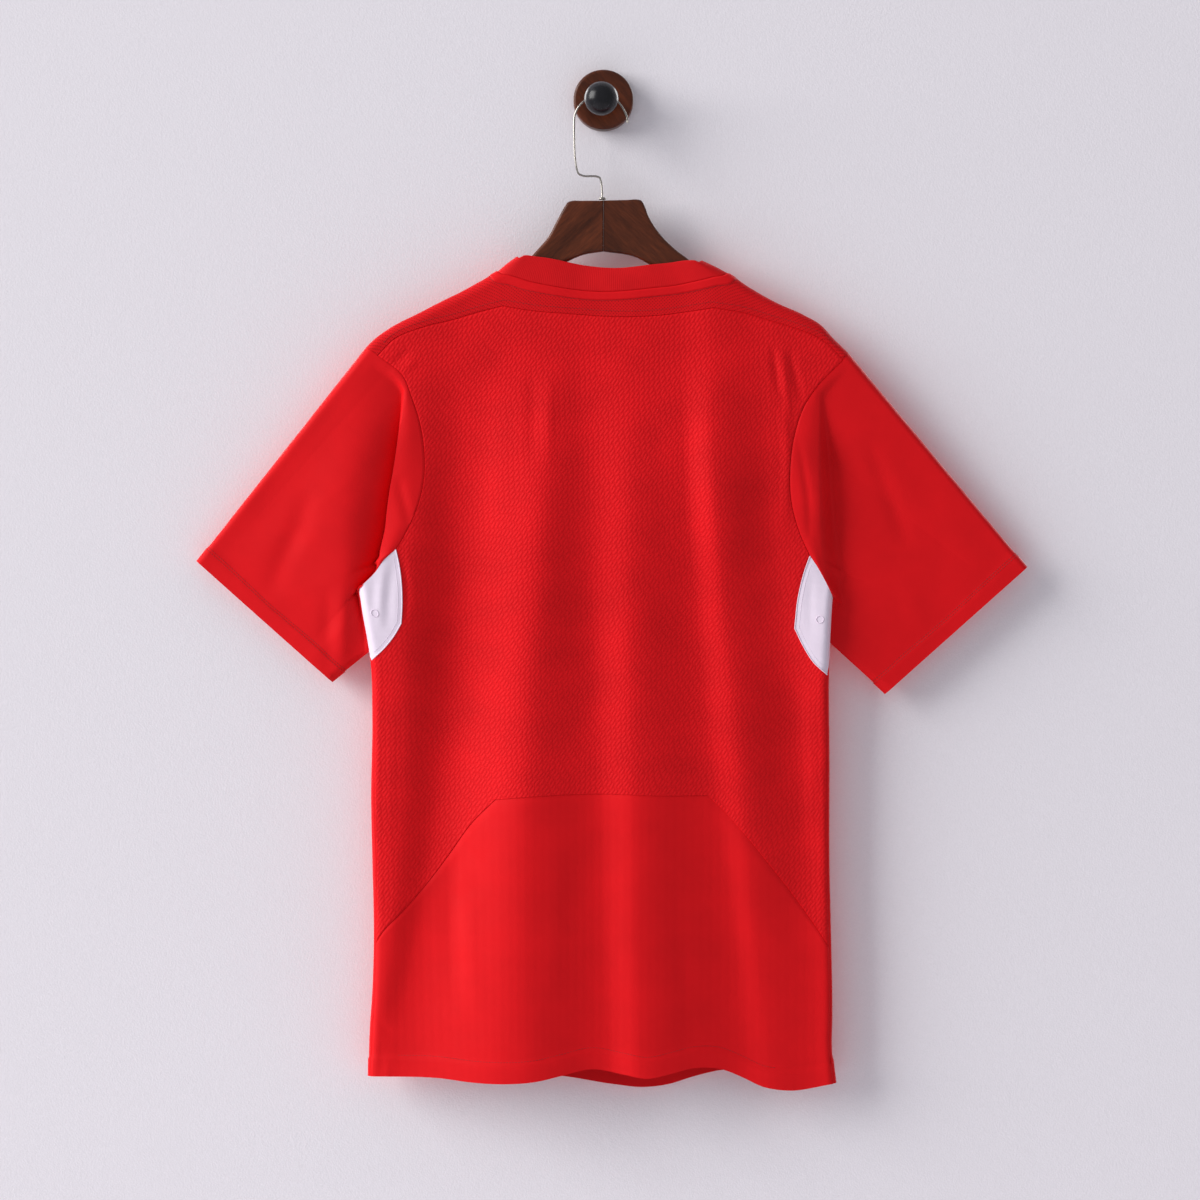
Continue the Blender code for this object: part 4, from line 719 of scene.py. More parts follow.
def gusset_edges(side):
    """The four edges of a gusset in q and z: to the sleeve, the back's two, and the front's."""
    left = side < 0
    top = to_q(side, sample(GUSSET_LEFT_TOP if left else GUSSET_RIGHT_TOP, COLS_GUSSET))
    inner = to_q(side, sample(GUSSET_LEFT_INNER if left else GUSSET_RIGHT_INNER, ROWS_GUSSET))
    lower = to_q(side, sample(GUSSET_LEFT_LOWER if left else GUSSET_RIGHT_LOWER, COLS_GUSSET))
    arm_z, arm_q = UNDERARM_LEFT if left else UNDERARM_RIGHT
    tip = top[-1]
    half_way = (arm_q * UNDERARM_BOW, (tip[1] + arm_z) / 2)
    outer = sample([tip, half_way, (arm_q, arm_z)], ROWS_GUSSET - ROWS_UNDERARM)
    return top, inner, lower, chain(outer, sample([outer[-1], lower[-1]], ROWS_UNDERARM))


def yoke_seam():
    """Seam of yoke and back in x and z."""
    return chain(sample(YOKE_LEFT, COLS_SIDE), sample(YOKE_MIDDLE, COLS_MIDDLE),
                 sample(YOKE_RIGHT, COLS_SIDE))


def lower_seam():
    """Angled seam of the two back panels in x and z."""
    return chain(sample(LOWER_LEFT, COLS_SIDE), sample(LOWER_MIDDLE, COLS_MIDDLE),
                 sample(LOWER_RIGHT, COLS_SIDE))


def yoke_ends():
    """The yoke's two armhole edges in x and v, from the back seam over to the front one."""
    ends = []
    for seam, front, tip in ((YOKE_LEFT[0], YOKE_FRONT_LEFT[0], SHOULDER[0]),
                             (YOKE_RIGHT[-1], YOKE_FRONT_RIGHT[-1], SHOULDER[-1])):
        start = to_v(np.array([seam]))[0]
        ends.append(sample([start, (tip[0], 0.0), front], ROWS_YOKE))
    return ends


def flat_front(points):
    """x and z of points of the front given by x and way down from the shoulder line."""
    z = read(SHOULDER, points[:, 0]) - in_from_edge(points[:, 1], RIDGE_R)
    return np.stack([points[:, 0], z], axis=-1)


def front_edges():
    """Edges of the front in c and z: top with the neck, hem, and both sides.

    The neck hangs below a straight line by its depth times one less a power of the
    share of the way from its middle.
    """
    neck_cells = COLUMNS - 2 * COLS_SHOULDER
    left_top = flat_front(sample(YOKE_FRONT_LEFT, COLS_SHOULDER))
    right_top = flat_front(sample(YOKE_FRONT_RIGHT, COLS_SHOULDER))
    share = np.linspace(0.0, 1.0, neck_cells + 1)
    start = left_top[-1]
    end = right_top[0]
    bow = NECK_FRONT_DEPTH * (1 - np.abs(2 * share - 1) ** NECK_FRONT_POWER)
    neck = np.stack([start[0] + (end[0] - start[0]) * share,
                     start[1] + (end[1] - start[1]) * share - bow], axis=-1)
    top = chain(left_top, neck, right_top)
    sides = []
    for side, armhole, corner in ((-1, ARMHOLE_FRONT_LEFT, left_top[0]),
                                  (1, ARMHOLE_FRONT_RIGHT, right_top[-1])):
        outer = gusset_edges(side)[3]
        down = np.concatenate([outer[-ROWS_UNDERARM - 1:], side_seam(side)[1:]])
        wrapped = np.stack([front_c(side, down[:, 0], down[:, 1]), down[:, 1]], axis=-1)
        arm = sample([tuple(corner)] + armhole + [tuple(wrapped[0])], ROWS_FRONT_ARMHOLE)
        sides.append(chain(arm, wrapped))
    hem = sample([tuple(sides[0][-1])] + FRONT_HEM + [tuple(sides[1][-1])], COLUMNS)
    return top, hem, sides[0], sides[1]


# ---- meshes
def placed(name, data):
    """Object with that data, in the scene."""
    obj = bpy.data.objects.new(name, data)
    bpy.context.scene.collection.objects.link(obj)
    return obj


def numbered(rows, cols, ring=False):
    """Numbers of a grid's points; on a ring the first column follows again after the last."""
    number = np.arange(rows * cols).reshape(rows, cols)
    return np.concatenate([number, number[:, :1]], axis=1) if ring else number


def quads_of(number):
    """Four-cornered faces between the neighbouring rows and columns of a grid of numbers."""
    faces = np.stack([number[:-1, :-1], number[1:, :-1], number[1:, 1:], number[:-1, 1:]], axis=-1)
    return faces.reshape(-1, 4)


def mesh_of(name, points, faces, material, weave=None, weave_faces=None, sharp=None):
    """Object at the origin from points in mm and four-cornered faces, with an optional weave map."""
    mesh = bpy.data.meshes.new(name)
    mesh.vertices.add(len(points))
    mesh.vertices.foreach_set("co", (points * MM).astype(np.float32).ravel())
    mesh.loops.add(faces.size)
    mesh.loops.foreach_set("vertex_index", faces.astype(np.int32).ravel())
    mesh.polygons.add(len(faces))
    mesh.polygons.foreach_set("loop_start", np.arange(0, faces.size, 4, dtype=np.int32))
    if weave is not None:
        layer = mesh.uv_layers.new(name="weave")
        layer.data.foreach_set("uv", (weave[weave_faces] * MM).astype(np.float32).ravel())
    mesh.update(calc_edges=True)
    mesh.shade_smooth()
    if sharp:
        mesh.set_sharp_from_angle(angle=math.radians(sharp))
    mesh.materials.append(material)
    return placed(name, mesh)


def cloth(name, outer, out, thickness, weave, material, ring=False):
    """Closed cloth: a grid of points, the same grid moved in by its thickness, and its rims.

    With ring set, the last column joins the first. The weave map has a place for each
    point of the grid, and one more column on a ring.
    """
    size = outer.shape[0] * outer.shape[1]
    points = np.concatenate([outer.reshape(-1, 3), (outer - out * thickness).reshape(-1, 3)])
    number = numbered(*outer.shape[:2], ring)
    place = numbered(*weave.shape[:2])
    skin = quads_of(number)
    map_skin = quads_of(place)
    faces = [skin, skin[:, ::-1] + size]
    maps = [map_skin, map_skin[:, ::-1]]
    rims = [(number[0], place[0], -1), (number[-1], place[-1], 1)]
    if not ring:
        rims += [(number[:, 0], place[:, 0], 1), (number[:, -1], place[:, -1], -1)]
    for edge, spot, turn in rims:
        rim = [edge[:-1], edge[:-1] + size, edge[1:] + size, edge[1:]]
        faces.append(np.stack(rim, axis=-1)[:, ::turn])
        maps.append(np.stack([spot[:-1], spot[:-1], spot[1:], spot[1:]], axis=-1)[:, ::turn])
    faces = np.concatenate(faces)
    maps = np.concatenate(maps)
    corners = points[skin]
    facing = np.cross(corners[:, 2] - corners[:, 0], corners[:, 3] - corners[:, 1])
    if np.sum(facing * out.reshape(-1, 3)[skin[:, 0]]) < 0:
        faces = faces[:, ::-1]
        maps = maps[:, ::-1]
    return mesh_of(name, points, faces, material, weave.reshape(-1, 2), maps, sharp=SHARP_CLOTH)


# A grid turned to have its top, bottom, left or right side as its first row, and turned back
FIRST_ROW = {
    "t": lambda grid: grid,
    "b": lambda grid: grid[::-1],
    "l": lambda grid: grid.swapaxes(0, 1),
    "r": lambda grid: grid[:, ::-1].swapaxes(0, 1),
}
TURNED_BACK = {**FIRST_ROW, "r": lambda grid: grid.swapaxes(0, 1)[:, ::-1]}


def with_seam_rows(grid, sides):
    """Grid with one more row or column close beside each named side: t, b, l or r."""
    for side in sides:
        rows = FIRST_ROW[side](grid)
        extra = rows[:1] + (rows[1:2] - rows[:1]) * SEAM_LINE
        grid = TURNED_BACK[side](np.concatenate([rows[:1], extra, rows[1:]]))
    return grid


def seam_dip(shape, sides):
    """How far each point of a grid dips: all of SEAM_DEPTH on the named sides, and else 0."""
    dip = np.zeros(shape)
    for side in sides:
        FIRST_ROW[side](dip)[0] = SEAM_DEPTH
    return dip


def rings_of(side, up, count):
    """Circle of radius one about each point, in the plane of its two directions."""
    cosine, sine = circle(count)
    return side[:, None] * cosine[:, None] + up[:, None] * sine[:, None]


def tube(name, line, radius, sides, material, closed=False):
    """Tube along a line: at each point a circle square to the line, kept from twisting by
    the fixed direction nearest to square with the whole line."""
    line = np.asarray(line, float)
    if closed:
        ahead = np.roll(line, -1, axis=0) - np.roll(line, 1, axis=0)
    else:
        ahead = np.gradient(line, axis=0)
    ahead = unit(ahead)
    fixed = np.eye(3)[np.abs(ahead).mean(axis=0).argmin()]
    side = unit(np.cross(ahead, fixed))
    points = (line[:, None] + rings_of(side, np.cross(side, ahead), sides) * radius).reshape(-1, 3)
    number = numbered(len(line), sides, ring=True)
    if closed:
        number = np.concatenate([number, number[:1]])
        return mesh_of(name, points, quads_of(number)[:, ::-1], material)
    caps = np.array([[0, k, k + 1, k + 2] for k in range(1, sides - 2, 2)])
    faces = np.concatenate([quads_of(number)[:, ::-1], caps, (caps + len(points) - sides)[:, ::-1]])
    return mesh_of(name, points, faces, material, sharp=SHARP_CLOTH)


def stitches(name, runs, material):
    """Sewn thread: small grains along runs of surface points, half sunk in the cloth.

    Each grain is four rings of six points about its middle line, square to the run.
    """
    place, thickness = np.array(GRAIN_RINGS).T
    grains = []
    for points, out, pitch in runs:
        way = lengths(points)
        count = max(1, int(way[-1] / pitch))
        at = (np.arange(count) + 0.5) * way[-1] / count
        middle = spline(way, points, at)
        ahead = unit(spline(way, points, at + GRAIN_LOOK) - spline(way, points, at - GRAIN_LOOK))
        up = spline(way, out, at)
        up = unit(up - np.sum(up * ahead, axis=-1, keepdims=True) * ahead)
        ring = rings_of(np.cross(ahead, up), up, GRAIN_SIDES)
        reach = pitch * GRAIN_HALF * place
        grains.append(middle[:, None, None] + ahead[:, None, None] * reach[:, None, None]
                      + ring[:, None] * (STITCH_R * thickness)[:, None, None])
    points = np.concatenate(grains)
    number = numbered(len(GRAIN_RINGS), GRAIN_SIDES, ring=True)
    ends = np.array([[0, 1, 2, 3], [0, 3, 4, 5]])
    one = np.concatenate([quads_of(number), ends[:, ::-1], ends + number[-1, 0]])
    faces = one + np.arange(len(points))[:, None, None] * len(GRAIN_RINGS) * GRAIN_SIDES
    faces = faces.reshape(-1, 4)
    corners = points.reshape(-1, 3)[one[0]]
    facing = np.cross(corners[2] - corners[0], corners[3] - corners[1])
    if facing @ (corners.mean(axis=0) - points[0].reshape(-1, 3).mean(axis=0)) < 0:
        faces = faces[:, ::-1]
    return mesh_of(name, points.reshape(-1, 3), faces, material)


def hung(obj, node):
    """The piece rides with the hanging body and stands for its CAD node, which is hidden."""
    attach(obj, "root")
    if node:
        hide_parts(node)
    return obj


# ---- finishes
def add_node(tree, kind, inputs=(), **settings):
    """New node with its settings, its inputs given as numbers or as sockets to link."""
    made = tree.nodes.new(kind)
    for key, value in settings.items():
        setattr(made, key, value)
    for key, value in dict(inputs).items():
        if isinstance(value, bpy.types.NodeSocket):
            tree.links.new(value, made.inputs[key])
        else:
            made.inputs[key].default_value = value
    return made


def maths(tree, operation, first, second=0.0, third=0.0):
    """Result of one sum."""
    return add_node(tree, "ShaderNodeMath", {0: first, 1: second, 2: third},
                    operation=operation).outputs[0]


def eased(tree, value, span, to=(0.0, 1.0)):
    """Value carried smoothly from one range to another."""
    ranges = {"From Min": span[0], "From Max": span[1], "To Min": to[0], "To Max": to[1]}
    return add_node(tree, "ShaderNodeMapRange", {"Value": value, **ranges},
                    interpolation_type="SMOOTHSTEP").outputs["Result"]


def noise(tree, place, scale, detail=3.0, roughness=0.5):
    """Soft noise from 0 to 1, finer with a larger scale."""
    return add_node(tree, "ShaderNodeTexNoise", {"Vector": place, "Scale": scale, "Detail": detail,
                                                 "Roughness": roughness}).outputs["Fac"]


def ramp(tree, value, stops):
    """Colours along a value: place and colour of each stop."""
    made = add_node(tree, "ShaderNodeValToRGB", {"Fac": value})
    while len(made.color_ramp.elements) < len(stops):
        made.color_ramp.elements.new(0.5)
    for element, (place, colour) in zip(made.color_ramp.elements, stops):
        element.position = place
        element.color = (*colour, 1.0)
    return made.outputs["Color"]


def shade_of(colour, factor):
    """Colour times a factor."""
    return tuple(channel * factor for channel in colour)


def begin_finish(name, roughness, metallic=0.0, sheen=0.0, specular=0.5, coat=None):
    """New material and its node tree, with the uniform values set on the shader itself."""
    material = bpy.data.materials.new(name)
    material.use_nodes = True
    values = {"Roughness": roughness, "Metallic": metallic, "Specular IOR Level": specular,
              "Sheen Weight": sheen, "Sheen Roughness": SHEEN_ROUGHNESS, "Sheen Tint": SHEEN_TINT}
    if coat:
        values["Coat Weight"], values["Coat Roughness"] = coat
    for key, value in values.items():
        material.node_tree.nodes["Principled BSDF"].inputs[key].default_value = value
    return material, material.node_tree


def end_finish(material, colour, roughness=None, layers=()):
    """The material with its colour, roughness and bump linked to the shader.

    The bump is of one or more height sockets, each with its depth in metres, one over the other.
    """
    tree = material.node_tree
    shader = tree.nodes["Principled BSDF"]
    tree.links.new(colour, shader.inputs["Base Color"])
    if roughness is not None:
        tree.links.new(roughness, shader.inputs["Roughness"])
    for height, depth in layers:
        inputs = {"Height": height, "Distance": depth, "Strength": 1.0}
        if shader.inputs["Normal"].is_linked:
            inputs["Normal"] = shader.inputs["Normal"].links[0].from_socket
        made = add_node(tree, "ShaderNodeBump", inputs)
        tree.links.new(made.outputs["Normal"], shader.inputs["Normal"])
    return material


def weave_place(tree):
    """The piece's own weave map, in metres."""
    return add_node(tree, "ShaderNodeUVMap", uv_map="weave").outputs["UV"]


def object_place(tree):
    """The piece's own coordinates, in metres."""
    return add_node(tree, "ShaderNodeTexCoord").outputs["Object"]


def grains(tree, place, pitch, angle, half_length, radius, chance):
    """Staggered rows of short rounded bars: 1 on a bar and 0 between them.

    The map is turned by the angle and divided by the two pitches. Each next row is
    shifted by half a pitch and a random share. The distance to a bar's middle line is
    then measured in metres and eased into its round section.
    """
    along, across = pitch
    turned = add_node(tree, "ShaderNodeMapping", {"Vector": place, "Rotation": (0.0, 0.0, angle),
                                                  "Scale": (along, across, 1.0)},
                      vector_type="TEXTURE").outputs["Vector"]
    split = add_node(tree, "ShaderNodeSeparateXYZ", {"Vector": turned})
    row = maths(tree, "FLOOR", split.outputs["Y"])
    drawn = add_node(tree, "ShaderNodeTexWhiteNoise", {"W": row}, noise_dimensions="1D")
    shift = maths(tree, "MULTIPLY_ADD", drawn.outputs["Value"], chance, split.outputs["X"])
    shift = maths(tree, "MULTIPLY_ADD", row, 0.5, shift)
    beside_middle = maths(tree, "SUBTRACT", maths(tree, "FRACT", shift), 0.5)
    reach = maths(tree, "MULTIPLY", maths(tree, "ABSOLUTE", beside_middle), along)
    reach = maths(tree, "MAXIMUM", maths(tree, "SUBTRACT", reach, half_length), 0.0)
    off = maths(tree, "SUBTRACT", maths(tree, "FRACT", split.outputs["Y"]), 0.5)
    off = maths(tree, "MULTIPLY", off, across)
    far = maths(tree, "POWER", maths(tree, "MULTIPLY_ADD", reach, reach,
                                     maths(tree, "MULTIPLY", off, off)), 0.5)
    return eased(tree, far, (radius, radius * DASH_CORE))


def waves(tree, along, pitch):
    """Sine of that pitch along one coordinate."""
    return maths(tree, "SINE", maths(tree, "MULTIPLY", along, 2 * math.pi / pitch))


def knit_loops(tree, place, wale):
    """Fine knit: rounded upright wales crossed by weaker rows of loops."""
    split = add_node(tree, "ShaderNodeSeparateXYZ", {"Vector": place})
    upright = waves(tree, split.outputs["X"], wale)
    level = waves(tree, split.outputs["Y"], wale * WALE_SHARE)
    return maths(tree, "MULTIPLY_ADD", level, LOOP_SHARE, upright)


def fuzz(tree, place, scale=350.0):
    """Fine fuzz of the cloth."""
    return noise(tree, place, scale=scale, detail=2.0)


def tinted(tree, value, colour, dark, light):
    """Colour a little darker and lighter with a value from 0 to 1."""
    low, high = TINT_SPAN
    return ramp(tree, value, [(low, shade_of(colour, dark)), (high, shade_of(colour, light))])


def red_dashed(name, sizes):
    """Knit of the upper back: small slanted raised dashes on a satin ground, each dash painted lighter as a
    highlight.
    """
    material, tree = begin_finish(name, roughness=0.5, **KNIT)
    place = weave_place(tree)
    wander = add_node(tree, "ShaderNodeTexNoise", {"Vector": place, "Scale": 110.0, "Detail": 2.0})
    bend = {0: wander.outputs["Color"], 1: (DASH_BEND, DASH_BEND, 0.0), 2: place}
    bent = add_node(tree, "ShaderNodeVectorMath", bend, operation="MULTIPLY_ADD").outputs["Vector"]
    dash = grains(tree, bent, DASH_PITCH, math.radians(sizes.dash_angle), DASH_HALF, DASH_R, DASH_CHANCE)
    uneven = maths(tree, "MULTIPLY", noise(tree, place, scale=28.0), UNEVEN)
    # painted highlight: the raised dashes are painted lighter than the ground around them
    shade = maths(tree, "MULTIPLY_ADD", dash, DASH_PAINTED_HIGHLIGHT, uneven)
    return end_finish(material, tinted(tree, shade, sizes.red, dark=0.88, light=1.06),
                      eased(tree, dash, (0.0, 1.0), to=(0.56, 0.46)),
                      [(dash, DASH_RISE), (knit_loops(tree, place, WALE), LOOPS_UNDER)])


def red_plain(name, sizes):
    """Plain satin knit of the lower back, the sleeves and the front."""
    material, tree = begin_finish(name, roughness=0.5, **KNIT)
    place = weave_place(tree)
    uneven = noise(tree, place, scale=22.0)
    return end_finish(material, tinted(tree, uneven, sizes.red, dark=0.93, light=1.05),
                      eased(tree, noise(tree, place, scale=60.0), MIDDLING, to=(0.44, 0.56)),
                      [(knit_loops(tree, place, WALE_PLAIN), LOOPS_RISE),
                       (fuzz(tree, place), FUZZ_RED)])


def red_mesh(name, sizes):
    """Mesh of the yoke: small staggered holes, painted dark for the shade seen in them."""
    material, tree = begin_finish(name, roughness=0.6, **KNIT)
    place = weave_place(tree)
    hole = grains(tree, place, HOLE_PITCH, 0.0, 0.0, HOLE_R, 0.0)
    uneven = maths(tree, "MULTIPLY", noise(tree, place, scale=25.0), UNEVEN)
    # painted shade: each hole is painted dark, down to about half the red at its middle
    shade = maths(tree, "SUBTRACT", uneven, maths(tree, "MULTIPLY", hole, HOLE_PAINTED_SHADE))
    stops = [(at, shade_of(sizes.red, factor)) for at, factor in ((0.0, 0.52), (0.28, 0.9), (0.8, 1.04))]
    return end_finish(material, ramp(tree, shade, stops), None,
                      [(maths(tree, "SUBTRACT", 1.0, hole), HOLE_DEPTH),
                       (knit_loops(tree, place, WALE_MESH), LOOPS_UNDER)])


def red_rib(name, sizes):
    """Fine upright ribs of the collar, their crests painted lighter and their hollows darker as light and
    shade.
    """
    material, tree = begin_finish(name, roughness=0.56, sheen=0.08, specular=0.08)
    place = weave_place(tree)
    split = add_node(tree, "ShaderNodeSeparateXYZ", {"Vector": place})
    rib = waves(tree, split.outputs["X"], RIB_PITCH)
    # painted light and shade: the rib wave is added to the colour, lighter on crests and darker in hollows
    uneven = maths(tree, "MULTIPLY_ADD", rib, RIB_PAINTED_LIGHT, noise(tree, place, scale=40.0))
    return end_finish(material, tinted(tree, uneven, sizes.red, dark=0.82, light=0.94), None,
                      [(rib, RIB_RISE), (fuzz(tree, place, 400.0), FUZZ_RIB)])


def twisted(name, colour, dark, light):
    """Twisted thread of one colour."""
    material, tree = begin_finish(name, roughness=0.5, **THREAD)
    uneven = noise(tree, object_place(tree), scale=THREAD_TWIST)
    return end_finish(material, tinted(tree, uneven, colour, dark, light), None,
                      [(uneven, THREAD_RISE)])


def red_thread(name, sizes):
    """Sewing thread, painted much darker than the cloth as the shade along its sunk stitch rows."""
    # painted shade: the thread is painted at about half the cloth's red for the shade of the stitch rows
    return twisted(name, sizes.red, dark=0.42, light=0.66)


def white_cord(name, sizes):
    """White thread of the piping, the stitches and the rings."""
    return twisted(name, sizes.white, dark=0.88, light=1.08)


def white_knit(name, sizes):
    """Smooth white knit of the underarm pieces."""
    material, tree = begin_finish(name, roughness=0.55, sheen=0.15, specular=0.4)
    place = weave_place(tree)
    uneven = noise(tree, place, scale=30.0)
    return end_finish(material, tinted(tree, uneven, sizes.white, dark=0.95, light=1.02), None,
                      [(knit_loops(tree, place, WALE), LOOPS_RISE),
                       (fuzz(tree, place), FUZZ_WHITE)])


def walnut(name, sizes, angle, streak=0.0, joint=0.0):
    """Dark oiled walnut: noise drawn out along the grain, thin pores, and darker by a joint at x = 0."""
    material, tree = begin_finish(name, roughness=0.3, specular=0.2, coat=COAT)
    turned = {"Vector": object_place(tree), "Rotation": (0.0, angle, 0.0), "Scale": WOOD_DRAWN}
    place = add_node(tree, "ShaderNodeMapping", turned, vector_type="TEXTURE").outputs["Vector"]
    figure = noise(tree, place, scale=9.0, detail=4.0, roughness=0.6)
    pores = noise(tree, place, scale=75.0, detail=2.0, roughness=0.7)
    mixed = maths(tree, "MULTIPLY_ADD", pores, PORES, maths(tree, "MULTIPLY", figure, FIGURE))
    mixed = maths(tree, "SUBTRACT", mixed, streak)
    if joint:
        split = add_node(tree, "ShaderNodeSeparateXYZ", {"Vector": object_place(tree)})
        away = maths(tree, "ABSOLUTE", split.outputs["X"])
        mixed = maths(tree, "SUBTRACT", mixed, eased(tree, away, JOINT_WIDTH, to=(joint, 0.0)))
    stops = [(at, shade_of(sizes.wood, factor)) for at, factor in ((0.36, 0.42), (0.54, 1.0), (0.72, 1.7))]
    return end_finish(material, ramp(tree, mixed, stops), eased(tree, pores, MIDDLING, to=(0.42, 0.28)),
                      [(pores, PORE_DEPTH)])


def nickel(name, sizes):
    """Bright drawn wire with faint lengthwise scratches."""
    material, tree = begin_finish(name, roughness=0.22, metallic=1.0)
    uneven = noise(tree, object_place(tree), scale=420.0, detail=4.0)
    return end_finish(material, tinted(tree, uneven, sizes.metal, dark=0.95, light=1.05),
                      eased(tree, uneven, MIDDLING, to=(0.24, 0.3)))


def black_gloss(name, sizes):
    """Polished black lacquer with a faint orange-peel surface."""
    material, tree = begin_finish(name, roughness=0.24, specular=0.28)
    peel = noise(tree, object_place(tree), scale=160.0, detail=2.0)
    return end_finish(material, tinted(tree, peel, sizes.black, dark=0.8, light=1.3),
                      eased(tree, peel, (0.2, 0.8), to=(0.2, 0.28)), [(peel, PEEL_RISE)])


def wall_paint(name, sizes):
    """Pale matt paint, seen from the room's side only."""
    material, tree = begin_finish(name, roughness=0.85, specular=0.2)
    grain = noise(tree, object_place(tree), scale=700.0, detail=2.0)
    stops = [(0.3, shade_of(sizes.wall, 0.97)), (0.7, sizes.wall)]
    end_finish(material, ramp(tree, grain, stops), None, [(grain, WALL_RISE)])
    clear = add_node(tree, "ShaderNodeBsdfTransparent")
    side = add_node(tree, "ShaderNodeNewGeometry").outputs["Backfacing"]
    paint = tree.nodes["Principled BSDF"].outputs[0]
    either = add_node(tree, "ShaderNodeMixShader", {0: side, 1: paint, 2: clear.outputs[0]})
    tree.links.new(either.outputs[0], tree.nodes["Material Output"].inputs["Surface"])
    return material


def floor_paint(name, sizes):
    """Plain pale floor."""
    material, tree = begin_finish(name, roughness=0.7, specular=0.3)
    grain = noise(tree, object_place(tree), scale=30.0, detail=3.0)
    stops = [(0.3, shade_of(sizes.wall, 0.74)), (0.7, shade_of(sizes.wall, 0.78))]
    return end_finish(material, ramp(tree, grain, stops))


def finish(maker, sizes, *more):
    """Material of a maker above, made once, under a name that no CAD material has."""
    name = "_".join([maker.__name__, "finish"] + [f"{value:.1f}".replace(".", "p") for value in more])
    return bpy.data.materials.get(name) or maker(name, sizes, *more)


# ---- cloth pieces
def unrolled(x, z):
    """x of the back counted along the cloth, so that the weave isn't drawn out round the sides."""
    spare = SIDE_R * math.pi / 2 - SIDE_R
    left = x - outline_x(-1, z)
    right = outline_x(1, z) - x
    return (x - (left + spare - round_way(left, SIDE_R))
            + (right + spare - round_way(right, SIDE_R)))


def panel(name, edges, surface, sign, seams, material, weave, thickness, fade=3, rise=None):
    """Cloth patch between four edges of one surface of the tube, dipping into its seams."""
    grid = with_seam_rows(patch(*edges, fade), seams)
    first, second = grid[..., 0], grid[..., 1]
    points, out = on_surface(surface, first, second, sign)
    lift = -seam_dip(points.shape[:2], seams)
    if rise is not None:
        lift = lift + rise(first, second)
    points = points + out * lift[..., None]
    return cloth(name, points, out, thickness, weave(first, second), material)


def plane_map(first, second):
    """Weave map that is a surface's own two coordinates."""
    return np.stack([first, second], axis=-1)


def back_map(x, z):
    """Weave map of the back: x counted along the cloth, and z."""
    return np.stack([unrolled(x, z), z], axis=-1)


def surface_run(surface, ways, sign, pitch):
    """Run for stitches: points and outward directions along ways on a surface."""
    points, out = on_surface(surface, ways[:, 0], ways[:, 1], sign)
    return points, out, pitch


def twin_rows(surface, line, sign, sizes):
    """Runs of the two stitch rows above a hem."""
    return [surface_run(surface, line + np.array([0.0, up]), sign, sizes.stitch / MM)
            for up in HEM_ROWS]


def hem_rise(hem):
    """Rise of a panel that has this hem."""
    return lambda x, z: hem_height(z - read(hem, x), HEM_WIDTH)


def beside(line, distance):
    """A line of a flat map moved square to itself, to the left of its way."""
    ahead = unit(np.gradient(line, axis=0))
    return line + distance * np.stack([-ahead[:, 1], ahead[:, 0]], axis=-1)


def back_sides():
    """Left and right edges of the two back panels, in x and z, from the yoke to the hem."""
    left_gusset = [to_x(-1, edge) for edge in gusset_edges(-1)]
    right_gusset = [to_x(1, edge) for edge in gusset_edges(1)]
    left = chain(sample(ARMHOLE_LEFT, ROWS_ARMHOLE), left_gusset[1], left_gusset[2],
                 to_x(-1, side_seam(-1)))
    right = chain(sample(ARMHOLE_RIGHT, ROWS_ARMHOLE), right_gusset[1], right_gusset[2],
                  to_x(1, side_seam(1)))
    return left, right


def make_back(sizes):
    """The two back panels and the twin stitch rows of the hem."""
    left, right = back_sides()
    seam = lower_seam()
    seam[0] = left[-ROWS_LOWER - 1]
    seam[-1] = right[-ROWS_LOWER - 1]
    upper = panel("back_upper_cloth", (yoke_seam(), seam, left[:-ROWS_LOWER], right[:-ROWS_LOWER]),
                  back_point, 1.0, "tblr", finish(red_dashed, sizes), back_map, sizes.cloth / MM)
    hem = sample([tuple(left[-1])] + BACK_HEM[1:-1] + [tuple(right[-1])], COLUMNS)
    lower = panel("back_lower_cloth", (seam, hem, left[-ROWS_LOWER - 1:], right[-ROWS_LOWER - 1:]),
                  back_point, 1.0, "tlr", finish(red_plain, sizes), back_map, sizes.cloth / MM,
                  rise=hem_rise(BACK_HEM))
    line = sample(BACK_HEM[1:-1], HEM_CELLS)[HEM_PART]
    line = np.concatenate([left[-1:] + np.array([HEM_INSET, 0.0]), line])
    hem_stitches = stitches("hem_stitches", twin_rows(back_point, line, 1.0, sizes),
                            finish(red_thread, sizes))
    hung(upper, "back_upper")
    hung(lower, "back_lower")
    hung(hem_stitches, None)


def make_front(sizes):
    """Plain front with its hem stitches, hidden against the wall."""
    edges = front_edges()
    front = panel("front_cloth", edges, front_point, -1.0, "tlr", finish(red_plain, sizes), plane_map,
                  sizes.cloth / MM, rise=hem_rise(FRONT_HEM))
    rows = stitches("front_hem_stitches", twin_rows(front_point, edges[1][SEAM_PART], -1.0, sizes),
                    finish(red_thread, sizes))
    hung(front, "front_panel")
    hung(rows, None)


def make_tape(neck, sizes):
    """Tape below the neck seam: the seam's line moved down row by row, proud between its edges."""
    across = np.linspace(0.0, 1.0, TAPE_ROWS)
    place = np.stack([beside(neck, -TAPE_WIDTH * share) for share in across])[:, TAPE_PART]
    points, out = on_surface(shoulder_point, place[..., 0], place[..., 1], 1.0)
    section = TAPE_RISE * smooth(across / TAPE_EDGE) * smooth((1.0 - across) / TAPE_EDGE)
    start = smooth(np.linspace(0.0, 1.0, points.shape[1]) * TAPE_ENDS)
    lift = section[:, None] * (start * start[::-1]) + TAPE_LIFT
    weave = np.broadcast_arrays(lengths(neck)[TAPE_PART], across[:, None] * TAPE_WIDTH)
    return cloth("neck_tape", points + out * lift[..., None], out, TAPE_THICK,
                 np.stack(weave, axis=-1), finish(red_plain, sizes))


